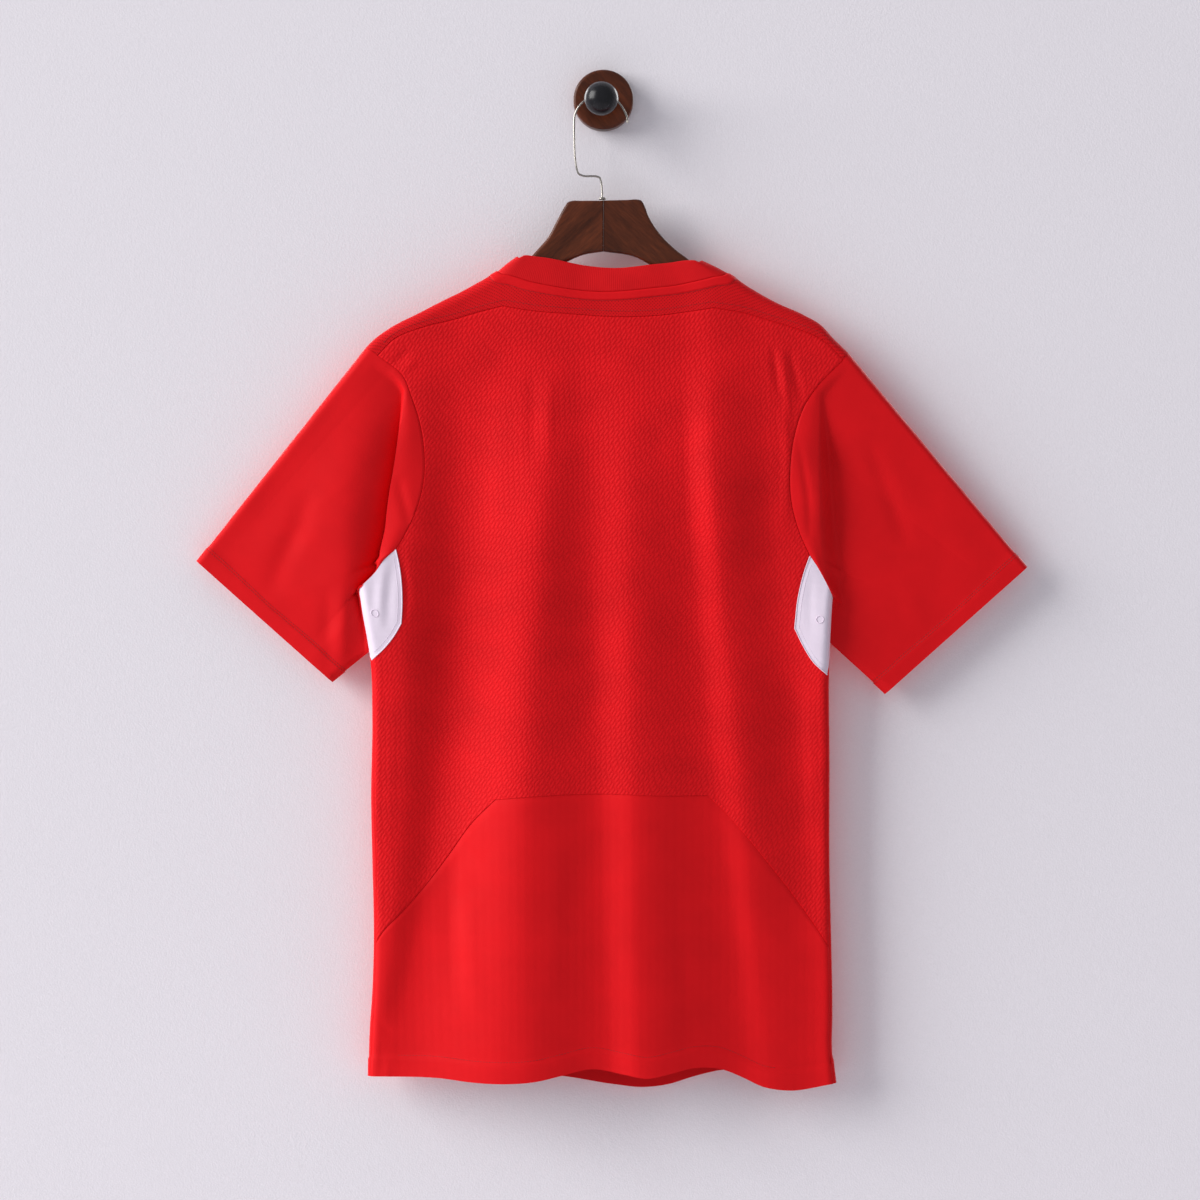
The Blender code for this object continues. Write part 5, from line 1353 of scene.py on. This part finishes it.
def make_yoke(sizes):
    """Mesh piece over both shoulders, its row of stitches and the tape below the collar."""
    neck = sample(NECK_BACK, COLUMNS - 2 * COLS_SHOULDER)
    top = chain(sample(YOKE_FRONT_LEFT, COLS_SHOULDER), neck, sample(YOKE_FRONT_RIGHT, COLS_SHOULDER))
    left, right = yoke_ends()
    seam = to_v(yoke_seam())
    yoke = panel("yoke_cloth", (seam, top, left, right), shoulder_point, 1.0, "tblr",
                 finish(red_mesh, sizes), plane_map, sizes.cloth / MM, fade=1)
    fine = sample(NECK_BACK, TAPE_CELLS)
    tape = make_tape(fine, sizes)
    below_tape = beside(fine, -TAPE_WIDTH - TAPE_ROW)[TAPE_PART]
    runs = [surface_run(shoulder_point, beside(seam, YOKE_ROW)[YOKE_PART], 1.0, sizes.stitch / MM),
            surface_run(shoulder_point, below_tape, 1.0, TAPE_STITCH)]
    rows = stitches("yoke_stitches", runs, finish(red_thread, sizes))
    hung(yoke, "yoke")
    hung(tape, None)
    hung(rows, None)


def make_collar(sizes):
    """Ribbed band: each point of the neck seam carried up and in by the band's own table.

    Its section goes up the outside, bowed by half a sine, over a round top edge and down
    the inside.
    """
    neck_back = sample(NECK_BACK, COLUMNS - 2 * COLS_SHOULDER)
    neck_front = front_edges()[0][COLS_SHOULDER:-COLS_SHOULDER]
    back_part, back_out = on_surface(shoulder_point, neck_back[:, 0], neck_back[:, 1], 1.0)
    front_part, front_out = on_surface(front_point, neck_front[::-1, 0], neck_front[::-1, 1], -1.0)
    seam = np.concatenate([back_part[:-1], front_part[:-1]])
    seam_out = np.concatenate([back_out[:-1], front_out[:-1]])
    low, high = neck_back[:, 0].min(), neck_back[:, 0].max()
    share = (seam[:, 0] - low) / (high - low)
    front_side = np.concatenate([neck_back[:-1, 1] > 0, np.ones(len(neck_front) - 1, bool)])
    band = np.asarray(COLLAR_BAND)
    way = spline(band[:, 0], band[:, 1:], np.where(front_side, 2.0 - share, share))
    t = np.linspace(0.0, 1.0, ROWS_COLLAR + 1)[:, None, None] ** COLLAR_CROWD
    outward = seam - seam.mean(axis=0)
    outward[:, 2] = 0.0
    grid = seam + way * t + unit(outward) * COLLAR_BULGE * np.sin(math.pi * t)
    across = np.roll(grid, -1, axis=1) - np.roll(grid, 1, axis=1)
    up = np.gradient(grid, axis=0)
    out = unit(np.cross(across, up))
    out[0] = seam_out
    grid[0] -= seam_out * SEAM_DEPTH
    half = sizes.rib / MM / 2
    turns = np.linspace(0.0, math.pi, ROWS_CROWN)[1:-1, None, None]
    rise = unit(up[-1])
    crown = grid[-1] - out[-1] * half + out[-1] * half * np.cos(turns) + rise * half * np.sin(turns)
    section = np.concatenate([grid, crown, (grid - out * 2 * half)[::-1]])
    loop = np.concatenate([seam, seam[:1]])
    steps = np.linalg.norm(np.diff(section, axis=0), axis=-1).mean(axis=1)
    upward = np.cumsum(np.concatenate([[0.0], steps, [2 * half]]))
    weave = np.stack(np.broadcast_arrays(lengths(loop), upward[:, None]), axis=-1)
    number = numbered(*section.shape[:2], ring=True)
    number = np.concatenate([number, number[:1]])
    collar = mesh_of("collar_band", section.reshape(-1, 3), quads_of(number)[:, ::-1],
                     finish(red_rib, sizes), weave.reshape(-1, 2),
                     quads_of(numbered(*weave.shape[:2]))[:, ::-1], sharp=SHARP_CLOTH)
    hung(collar, "collar")


def make_gussets(sizes):
    """White underarm pieces with their piping, stitches and one plain ring each."""
    for side, word in ((-1, "left"), (1, "right")):
        top, inner, lower, outer = gusset_edges(side)

        def surface(q, z, side=side):
            return side_point(side, q, z)

        sign = -float(side)
        white = panel(f"gusset_{word}_cloth", (top[::-1], lower[::-1], outer, inner), surface, sign, "",
                      finish(white_knit, sizes), plane_map, sizes.cloth / MM)
        border = chain(inner, lower)
        points, out = on_surface(surface, border[:, 0], border[:, 1], sign)
        cord = tube(f"gusset_{word}_piping", points + out * (PIPING_R * PIPING_PROUD), PIPING_R,
                    PIPING_SIDES, finish(white_cord, sizes))
        middle = to_q(side, np.array([EYELETS[side]]))[0]
        spots = middle + EYELET_R * np.stack(circle(EYELET_POINTS), axis=-1)
        points, out = on_surface(surface, spots[:, 0], spots[:, 1], sign)
        ring = tube(f"gusset_{word}_ring", points + out * (EYELET_WIRE * EYELET_PROUD), EYELET_WIRE,
                    EYELET_SIDES, finish(white_cord, sizes), closed=True)
        line = beside(border, -PIPING_ROW)[SEAM_PART]
        rows = stitches(f"gusset_{word}_stitches", [surface_run(surface, line, sign, GUSSET_STITCH)],
                        finish(white_cord, sizes))
        hung(white, f"gusset_{word}")
        for piece in (cord, ring, rows):
            hung(piece, None)


# ---- sleeves
def armhole_ring(side):
    """Points round one armhole, their outward directions, and their places -1 to 5."""
    end = yoke_ends()[0 if side < 0 else 1][::-1]
    top, _, _, outer = gusset_edges(side)
    armhole = sample(ARMHOLE_LEFT if side < 0 else ARMHOLE_RIGHT, ROWS_ARMHOLE)
    front_side = front_edges()[2 if side < 0 else 3][:ROWS_FRONT_ARMHOLE + 1][::-1]
    v = end[:, 1]

    def gusset(q, z):
        return side_point(side, q, z)

    under = outer[:-ROWS_UNDERARM]
    parts = [(shoulder_point, end, 1.0, np.where(v > 0, -v / v[0], v / v[-1])),
             (back_point, armhole, 1.0, np.linspace(1.0, 2.0, ROWS_ARMHOLE + 1)),
             (gusset, top, -float(side), np.linspace(2.0, 3.0, COLS_GUSSET + 1)),
             (gusset, under, -float(side), np.linspace(3.0, 4.0, len(under))),
             (front_point, front_side, -1.0, np.linspace(4.0, 5.0, ROWS_FRONT_ARMHOLE + 1))]
    points, outs, places = [], [], []
    for surface, ways, sign, where in parts:
        at, out = on_surface(surface, ways[:, 0], ways[:, 1], sign)
        points.append(at[:-1])
        outs.append(out[:-1])
        places.append(where[:-1])
    return np.concatenate(points), np.concatenate(outs), np.concatenate(places)


def cuff_ring(sleeve, place):
    """Points of the open cuff: a flat ring, back from 0 to 1 and front from 1 to 2."""
    rows = np.asarray(CUFF_PLACE)
    way = spline(rows[:, 0], rows[:, 1], place)[..., 0]
    share = np.where(way > 1.0, 2.0 - way, np.abs(way))
    front = (way > 1.0) | (way < 0.0)
    top = np.asarray(sleeve["cuff_top"])
    low = np.asarray(sleeve["cuff_low"])
    ring = top + (low - top) * share[:, None]
    flat = np.linalg.norm(low - top) * np.minimum(share, 1.0 - share)
    depth = sleeve["cuff_half"] * roundness(flat, CUFF_R)
    ring[:, 1] += np.where(front, depth, -depth)
    return ring, front


def strip_width(sleeve, seam, cuff, length, least, edge):
    """Way along each row to the fold line, at least so far off the seam, and over its step."""
    tangent = (np.roll(seam, -1, axis=0) - np.roll(seam, 1, axis=0))[:, [0, 2]]
    run = (cuff - seam)[:, [0, 2]]
    turn = np.abs(tangent[:, :1] * run[:, 1:] - tangent[:, 1:] * run[:, :1])
    turn /= np.linalg.norm(tangent, axis=-1, keepdims=True) * length
    slant = 1.0 / np.clip(turn, LEAST_TURN, 1.0)
    steps = np.linspace(0.0, 1.0, FOLD_STEPS)
    x = seam[:, :1] + run[:, :1] * steps
    z = seam[:, 2:] + run[:, 1:] * steps
    past = sleeve["side"] * (x - read(sleeve["fold"], z)) > 0
    first = np.argmax(past, axis=1)[:, None] / (FOLD_STEPS - 1.0)
    return np.maximum(first * length, least * slant), edge * slant


def row_ways(strip, edge, length):
    """Ways along each row: close together on the strip and the step, wider towards the cuff."""
    strip_cells, step_cells, rest_cells = COLS_SLEEVE
    first = np.linspace(0.0, 1.0, strip_cells + 1)[:-1]
    first = np.concatenate([first[:1], first[1:2] * SEAM_LINE, first[1:]])
    step = np.linspace(0.0, 1.0, step_cells + 1)[:-1]
    rest = np.linspace(0.0, 1.0, rest_cells + 1) ** SLEEVE_CROWD
    return np.concatenate([strip * first, strip + edge * step,
                           strip + edge + (length - strip - edge) * rest], axis=1)


def folded_depth(seam_y, cuff_y, valley, crest, way, strip, edge, reach, length):
    """y of a sleeve with its fold, in three parts along each row.

    The strip is the seam's depth less a half sine. A smooth step goes down to the
    valley, and a parabola up to the crest at that reach. A hyperbola, the root of the
    sum of the share's square and the softness's, goes on almost straight to the cuff.
    """
    beyond = way - strip - edge
    to_crest = valley + (crest - valley) * (1.0 - (1.0 - np.clip(beyond / reach, 0, 1)) ** 2)
    rest = np.clip((beyond - reach) / (length - strip - edge - reach), 0, 1)
    soft = (np.hypot(rest, CREST_SOFT) - CREST_SOFT) / (math.hypot(1.0, CREST_SOFT) - CREST_SOFT)
    behind = to_crest + (cuff_y - crest) * soft
    proud = STRIP_PROUD * np.sin(math.pi * np.clip(way / strip, 0, 1))
    over = seam_y - proud * smooth(strip / STRIP_FULL)
    return over + (behind - over) * smooth((way - strip) / edge)


def sleeve_grid(sleeve, seam, place):
    """Points of a sleeve, a row for each point of the armhole, and their ways to the cuff.

    Every row runs straight from a point of the armhole to one of the cuff, seen
    from the back. Its depth goes from the seam's to the cuff's. On the back a
    strip beside the armhole ends in a step at the fold line, behind which the
    sleeve lies deeper, rises to a crest and falls to the cuff.
    """
    cuff, front = cuff_ring(sleeve, place)
    rows = np.asarray(sleeve["rows"])
    fold, valley, crest, least, edge = spline(rows[:, 0], rows[:, 1:], place).T[..., None]
    length = np.linalg.norm((cuff - seam)[:, [0, 2]], axis=-1, keepdims=True)
    strip, edge = strip_width(sleeve, seam, cuff, length, least, edge)
    slope = np.abs(cuff - seam)[:, :1] / length
    reach = sleeve["side"] * (sleeve["crest_x"] - seam[:, :1]) / slope - strip - edge
    way = row_ways(strip, edge, length)
    share = way / length
    grid = seam[:, None, :] + (cuff - seam)[:, None, :] * share[..., None]
    seam_y, cuff_y = seam[:, 1:2], cuff[:, 1:2]
    plain = seam_y + (cuff_y - seam_y) * share
    folded = folded_depth(seam_y, cuff_y, valley, crest, way, strip, edge,
                          np.maximum(reach, SLEEVE_ROUND), length)
    back = plain + (folded - plain) * np.clip(fold, 0.0, 1.0)
    settled = FRONT_SHARE * smooth(way / FRONT_SETTLE) + (1.0 - FRONT_SHARE) * share
    wall_side = seam_y + (cuff_y - seam_y) * settled
    beyond = way - strip - edge
    on_strip = smooth(-beyond / CREASE_STRIP) * smooth(way / CREASE_STRIP)
    fade_way, fade_left = CREASE_CUFF
    height = (crease_height(grid[..., 0], grid[..., 2], sleeve["creases"])
              * np.maximum(smooth(beyond / CREASE_BEYOND), on_strip)
              * smooth((length - way) / fade_way + fade_left))
    grid[..., 1] = np.where(front[:, None], wall_side + CREASE_FRONT * height, back - height)
    return grid, length - way


def ring_at(grid, out, to_hem, distance):
    """Closed run round a sleeve at that distance from its cuff, between the two columns beside it."""
    after = np.argmax(to_hem < distance, axis=1)
    rows = np.arange(len(grid))
    far, near = to_hem[rows, after - 1], to_hem[rows, after]
    share = ((far - distance) / (far - near))[:, None]
    points = grid[rows, after - 1] * (1 - share) + grid[rows, after] * share
    ways = out[rows, after - 1] * (1 - share) + out[rows, after] * share
    return np.concatenate([points, points[:1]]), np.concatenate([ways, ways[:1]])


def make_sleeve(name, sleeve, sizes):
    """Open tube from the armhole to the cuff, with its folded hem and twin stitch rows."""
    side = sleeve["side"]
    seam, seam_out, place = armhole_ring(side)
    grid, to_hem = sleeve_grid(sleeve, seam, place)
    across = np.roll(grid, -1, axis=0) - np.roll(grid, 1, axis=0)
    out = unit(np.cross(across, np.gradient(grid, axis=1)) * side)
    shared = (place < OWN_FROM) | (place > OWN_TO)
    out[shared, 0] = seam_out[shared]
    lift = hem_height(to_hem, CUFF_HEM)
    lift[:, 0] = -SEAM_DEPTH
    grid = grid + out * lift[..., None]
    top, low = (np.asarray(sleeve[corner])[[0, 2]] for corner in ("cuff_top", "cuff_low"))
    along_cuff = unit(low - top)
    flat = grid[..., [0, 2]] @ np.stack([along_cuff, [along_cuff[1], -along_cuff[0]]], axis=-1)
    flat = np.concatenate([flat, flat[:1]])
    shell = cloth(name + "_cloth", grid.transpose(1, 0, 2), out.transpose(1, 0, 2), sizes.cloth / MM,
                  flat.transpose(1, 0, 2), finish(red_plain, sizes), ring=True)
    runs = [(*ring_at(grid, out, to_hem, distance), sizes.stitch / MM) for distance in CUFF_ROWS]
    rows = stitches(name + "_stitches", runs, finish(red_thread, sizes))
    hung(shell, name)
    hung(rows, None)


# ---- hanger and peg
def lathe(name, profile, at, steps, material):
    """Turned piece: a profile of radius and depth from the wall, carried round a Y axis.

    Both ends of the profile lie on the axis, where their points are merged.
    """
    profile = np.asarray(profile, float)
    cosine, sine = circle(steps)
    radius = np.maximum(profile[:, :1], 0.0)
    points = np.stack(np.broadcast_arrays(at[0] + radius * cosine, at[1] - profile[:, 1:],
                                          at[2] + radius * sine), axis=-1)
    faces = quads_of(numbered(len(profile), steps, ring=True))
    obj = mesh_of(name, points.reshape(-1, 3), faces, material, sharp=SHARP_TURNED)
    close_up(obj.data)
    return obj


def close_up(mesh):
    """Merge the points that lie together, and face the mesh outwards."""
    shape = bmesh.new()
    shape.from_mesh(mesh)
    bmesh.ops.remove_doubles(shape, verts=shape.verts, dist=WELD)
    bmesh.ops.recalc_face_normals(shape, faces=shape.faces)
    shape.to_mesh(mesh)
    shape.free()
    mesh.shade_smooth()
    mesh.set_sharp_from_angle(angle=math.radians(SHARP_TURNED))


def arc(centre, radius, start, end, cells):
    """Points of a profile along a circle, between two angles in degrees."""
    turns = np.radians(np.linspace(start, end, cells + 1))
    return np.stack([centre[0] + radius * np.cos(turns), centre[1] + radius * np.sin(turns)], axis=-1)


def make_peg(sizes):
    """Wooden disc with a rounded lip, short post with a foot and neck, and glossy ball."""
    front = DISC_DEPTH
    lip = arc((DISC_R - DISC_LIP, front - DISC_LIP), DISC_LIP, 0.0, 90.0, LIP_CELLS)
    outer, inner, dish = DISC_DISH
    profile = np.concatenate([[(0.0, 0.0), (DISC_R - DISC_BEVEL, 0.0), (DISC_R, DISC_BEVEL)], lip,
                              [(outer, front), (inner, front - dish), (0.0, front - dish)]])
    disc = lathe("peg_disc_turned", profile, (0.0, 0.0, 0.0), DISC_STEPS,
                 finish(walnut, sizes, WALNUT_DISC))
    flat = math.sqrt(BALL_R ** 2 - POST_IN_BALL ** 2)
    start = math.degrees(math.asin(POST_IN_BALL / BALL_R)) - 90.0
    profile = np.concatenate([[(0.0, -flat)], arc((0.0, 0.0), BALL_R, start, 90.0, BALL_CELLS)])
    profile[:, 1] -= BALL[1]
    axis = (BALL[0], 0.0, BALL[2])
    ball = lathe("peg_ball_turned", profile, axis, BALL_STEPS, finish(black_gloss, sizes))
    near = -BALL[1] - flat - POST_GAP
    foot, slope = POST_STEP
    profile = [(0.0, front), (POST_R + POST_FOOT, front), (POST_R + POST_FOOT, front + foot),
               (POST_R, front + slope), (POST_R, near - slope), (POST_R + POST_NECK, near), (0.0, near)]
    post = lathe("peg_post_turned", profile, axis, POST_STEPS, finish(black_gloss, sizes))
    hung(disc, "peg_disc")
    hung(ball, "peg_ball")
    hung(post, "peg_post")


def distance_to(points, line):
    """Distance of each point of a flat grid to the nearest of a line's straight runs."""
    start, run = line[:-1], np.diff(line, axis=0)
    off = points[..., None, :] - start
    t = np.clip(np.sum(off * run, axis=-1) / np.sum(run * run, axis=-1), 0.0, 1.0)
    return np.linalg.norm(off - t[..., None] * run, axis=-1).min(axis=-1)


def board(name, upper, lower, material):
    """Board between an upper and a lower edge, its two long edges and its tip rounded.

    Straight rows run from one edge to the other, closer together near both. The half
    thickness is half of the whole less the rounding times one minus the rise of a
    quarter circle over the distance from the nearest edge.
    """
    top = sample(upper, COLS_BOARD)
    bottom = sample(lower, COLS_BOARD)
    across = (1.0 - np.cos(np.linspace(0.0, math.pi, ROWS_BOARD + 1)))[:, None, None] / 2
    face = top + across * (bottom - top)
    away = distance_to(face, np.concatenate([top, bottom[::-1]]))
    half = HANGER_THICK / 2 - HANGER_ROUND * (1.0 - roundness(away, HANGER_ROUND))
    near = np.stack([face[..., 0], HANG_Y - half, face[..., 1]], axis=-1)
    far = np.stack([face[..., 0], HANG_Y + half, face[..., 1]], axis=-1)[::-1]
    points = np.concatenate([near, far])
    rows = len(near)
    number = numbered(*points.shape[:2])
    skin = quads_of(np.concatenate([number, number[:1]])).tolist()
    ends = []
    for column, way in ((number[:, 0], 1), (number[:, -1], -1)):
        front, back = column[:rows], column[rows:][::-1]
        ends += np.stack([front[:-1], front[1:], back[1:], back[:-1]], axis=-1)[:, ::way].tolist()
    mesh = bpy.data.meshes.new(name)
    mesh.from_pydata((points.reshape(-1, 3) * MM).tolist(), [], skin + ends)
    mesh.materials.append(material)
    close_up(mesh)
    return placed(name, mesh)


def make_hanger(sizes):
    """Two wooden halves, the bent hook and the small metal collar it stands in."""
    left = board("hanger_left_board", HANGER_LEFT_TOP, HANGER_LEFT_UNDER,
                 finish(walnut, sizes, -WALNUT_ARM, 0.0, WALNUT_JOINT))
    right = board("hanger_right_board", HANGER_RIGHT_TOP, HANGER_RIGHT_UNDER,
                  finish(walnut, sizes, WALNUT_ARM, WALNUT_STREAK, WALNUT_JOINT))
    line = sample(HOOK_ROUTE, HOOK_CELLS)
    line = np.stack([line[:, 0], np.full(len(line), HANG_Y), line[:, 1]], axis=-1)
    hook = tube("hanger_hook_wire", line, HOOK_R, HOOK_SIDES, finish(nickel, sizes))
    around, section, height = FERRULE
    cosine, sine = circle(FERRULE_POINTS)
    ring = line[-1] + np.stack([around * cosine, around * sine, np.full(len(sine), height)], axis=-1)
    bead = tube("hanger_ferrule_bead", ring, section, FERRULE_SIDES, finish(nickel, sizes), closed=True)
    hung(left, "hanger_left")
    hung(right, "hanger_right")
    hung(hook, "hanger_hook")
    hung(bead, "hanger_ferrule")


# ---- stage
def plane(name, corners, material):
    """One four-cornered face, its corners in metres, turned anticlockwise as seen from its front."""
    mesh = bpy.data.meshes.new(name)
    mesh.from_pydata(corners, [], [(0, 1, 2, 3)])
    mesh.materials.append(material)
    obj = placed(name, mesh)
    return obj


def area_light(name, place, size, power, colour):
    """Soft square light at a place, turned towards the jersey's middle."""
    data = bpy.data.lights.new(name, "AREA")
    data.shape = "SQUARE"
    data.size = size
    data.energy = power
    data.color = colour
    light = placed(name, data)
    light.location = place
    aim = Vector(JERSEY_MIDDLE) - Vector(place)
    light.rotation_euler = aim.to_track_quat("-Z", "Y").to_euler()
    light.visible_camera = False
    return light


def let_through(light, blocker):
    """The light passes through one object, which stands between it and the cloth."""
    passing = bpy.data.collections.new(light.name + "_passes")
    passing.objects.link(blocker)
    light.light_linking.blocker_collection = passing
    passing.collection_objects[0].light_linking.link_state = "EXCLUDE"


def make_stage(sizes):
    """Wall seen from the room's side, pale floor, soft lights and the camera."""
    wall = plane("wall", [(-WALL_HALF, WALL_GAP, FLOOR_Z), (WALL_HALF, WALL_GAP, FLOOR_Z),
                          (WALL_HALF, WALL_GAP, WALL_TOP), (-WALL_HALF, WALL_GAP, WALL_TOP)],
                 finish(wall_paint, sizes))
    plane("floor", [(-WALL_HALF, -WALL_HALF, FLOOR_Z), (WALL_HALF, -WALL_HALF, FLOOR_Z),
                    (WALL_HALF, WALL_HALF, FLOOR_Z), (-WALL_HALF, WALL_HALF, FLOOR_Z)],
          finish(floor_paint, sizes))
    area_light("key", KEY_AT, KEY_SIZE, sizes.key_power, KEY_COLOUR)
    x, y, z = REAR_AT
    for place in ((-x, y, z), (x, y, z)):
        let_through(area_light("rear", place, REAR_SIZE, sizes.rear_power, (1.0, 1.0, 1.0)), wall)
    world = bpy.data.worlds.new("room")
    world.use_nodes = True
    background = world.node_tree.nodes["Background"]
    background.inputs["Color"].default_value = ROOM_COLOUR
    background.inputs["Strength"].default_value = sizes.fill
    bpy.context.scene.world = world
    bpy.context.scene.view_settings.view_transform = "Standard"
    data = bpy.data.cameras.new("camera")
    data.sensor_width = SENSOR
    data.lens = CAMERA_LENS
    camera = placed("camera", data)
    camera.location = CAMERA_AT
    camera.rotation_euler = (math.pi / 2, 0.0, 0.0)
    bpy.context.scene.camera = camera


# ---- settings and operators
class JerseySizes(PropertyGroup):
    """Sizes, colours and lights that a user may change before making the pieces."""

    cloth: FloatProperty(name="Cloth", description="Thickness of the knit", default=0.0008,
                         min=0.0003, max=0.003, unit="LENGTH", precision=4)
    rib: FloatProperty(name="Rib", description="Thickness of the collar's doubled rib", default=0.0018,
                       min=0.0008, max=0.004, unit="LENGTH", precision=4)
    stitch: FloatProperty(name="Stitch", description="Length of one stitch, thread and gap", default=0.0026,
                          min=0.001, max=0.006, unit="LENGTH", precision=4)
    dash_angle: FloatProperty(name="Dash angle", description="Slope of the raised dashes, in degrees",
                              default=55.0, min=0.0, max=90.0)
    red: FloatVectorProperty(name="Red", description="Colour of the red cloth", subtype="COLOR",
                             default=(0.715, 0.008, 0.012), min=0.0, max=1.0)
    white: FloatVectorProperty(name="White", description="Colour of the underarm pieces", subtype="COLOR",
                               default=(0.80, 0.70, 0.82), min=0.0, max=1.0)
    wood: FloatVectorProperty(name="Wood", description="Colour of the walnut", subtype="COLOR",
                              default=(0.086, 0.020, 0.007), min=0.0, max=1.0)
    metal: FloatVectorProperty(name="Metal", description="Colour of the wire", subtype="COLOR",
                               default=(0.36, 0.335, 0.305), min=0.0, max=1.0)
    black: FloatVectorProperty(name="Black", description="Colour of the lacquered ball", subtype="COLOR",
                               default=(0.008, 0.008, 0.010), min=0.0, max=1.0)
    wall: FloatVectorProperty(name="Wall", description="Colour of the wall and floor", subtype="COLOR",
                              default=(0.86, 0.83, 0.875), min=0.0, max=1.0)
    key_power: FloatProperty(name="Key", description="Power of the key light", default=2660.0, min=0.0,
                             unit="POWER")
    rear_power: FloatProperty(name="Rear", description="Power of each light behind the wall", default=30.0,
                              min=0.0, unit="POWER")
    fill: FloatProperty(name="Fill", description="Strength of the even light from the room", default=0.45,
                        min=0.0)


class JERSEY_OT_back(Operator):
    """Make the two back panels with their folds, seams and hem."""

    bl_idname = "jersey.make_back"
    bl_label = "Back"

    def execute(self, context):
        make_back(context.scene.jersey)
        return {"FINISHED"}


class JERSEY_OT_front(Operator):
    """Make the plain front."""

    bl_idname = "jersey.make_front"
    bl_label = "Front"

    def execute(self, context):
        make_front(context.scene.jersey)
        return {"FINISHED"}


class JERSEY_OT_yoke(Operator):
    """Make the mesh yoke, its stitches and the neck tape."""

    bl_idname = "jersey.make_yoke"
    bl_label = "Yoke"

    def execute(self, context):
        make_yoke(context.scene.jersey)
        return {"FINISHED"}


class JERSEY_OT_collar(Operator):
    """Make the ribbed collar."""

    bl_idname = "jersey.make_collar"
    bl_label = "Collar"

    def execute(self, context):
        make_collar(context.scene.jersey)
        return {"FINISHED"}


class JERSEY_OT_gussets(Operator):
    """Make the two white underarm pieces."""

    bl_idname = "jersey.make_gussets"
    bl_label = "Underarm pieces"

    def execute(self, context):
        make_gussets(context.scene.jersey)
        return {"FINISHED"}


class JERSEY_OT_sleeves(Operator):
    """Make both sleeves with their cuffs."""

    bl_idname = "jersey.make_sleeves"
    bl_label = "Sleeves"

    def execute(self, context):
        make_sleeve("sleeve_left", SLEEVE_LEFT, context.scene.jersey)
        make_sleeve("sleeve_right", SLEEVE_RIGHT, context.scene.jersey)
        return {"FINISHED"}


class JERSEY_OT_hanger(Operator):
    """Make the wooden hanger and its wire hook."""

    bl_idname = "jersey.make_hanger"
    bl_label = "Hanger"

    def execute(self, context):
        make_hanger(context.scene.jersey)
        return {"FINISHED"}


class JERSEY_OT_peg(Operator):
    """Make the wall peg: disc, post and ball."""

    bl_idname = "jersey.make_peg"
    bl_label = "Wall peg"

    def execute(self, context):
        make_peg(context.scene.jersey)
        return {"FINISHED"}


class JERSEY_OT_stage(Operator):
    """Make the wall, floor, lights and camera."""

    bl_idname = "jersey.make_stage"
    bl_label = "Stage"

    def execute(self, context):
        make_stage(context.scene.jersey)
        return {"FINISHED"}


MAKERS = (JERSEY_OT_back, JERSEY_OT_front, JERSEY_OT_yoke, JERSEY_OT_collar, JERSEY_OT_gussets,
          JERSEY_OT_sleeves, JERSEY_OT_hanger, JERSEY_OT_peg, JERSEY_OT_stage)


class JERSEY_PT_panel(Panel):
    """Sidebar panel with the settings and one button for each group of pieces."""

    bl_label = "Football jersey"
    bl_idname = "JERSEY_PT_panel"
    bl_space_type = "VIEW_3D"
    bl_region_type = "UI"
    bl_category = "Jersey"

    def draw(self, context):
        sizes = context.scene.jersey
        column = self.layout.column()
        for name in JerseySizes.__annotations__:
            column.prop(sizes, name)
        for maker in MAKERS:
            column.operator(maker.bl_idname)


CLASSES = (JerseySizes, *MAKERS, JERSEY_PT_panel)


def register():
    for made in CLASSES:
        bpy.utils.register_class(made)
    bpy.types.Scene.jersey = PointerProperty(type=JerseySizes)


def unregister():
    del bpy.types.Scene.jersey
    for made in reversed(CLASSES):
        bpy.utils.unregister_class(made)


def main():
    """Make every piece and the stage."""
    register()
    bpy.ops.jersey.make_back()
    bpy.ops.jersey.make_front()
    bpy.ops.jersey.make_yoke()
    bpy.ops.jersey.make_collar()
    bpy.ops.jersey.make_gussets()
    bpy.ops.jersey.make_sleeves()
    bpy.ops.jersey.make_hanger()
    bpy.ops.jersey.make_peg()
    bpy.ops.jersey.make_stage()


if __name__ == "__main__":
    main()
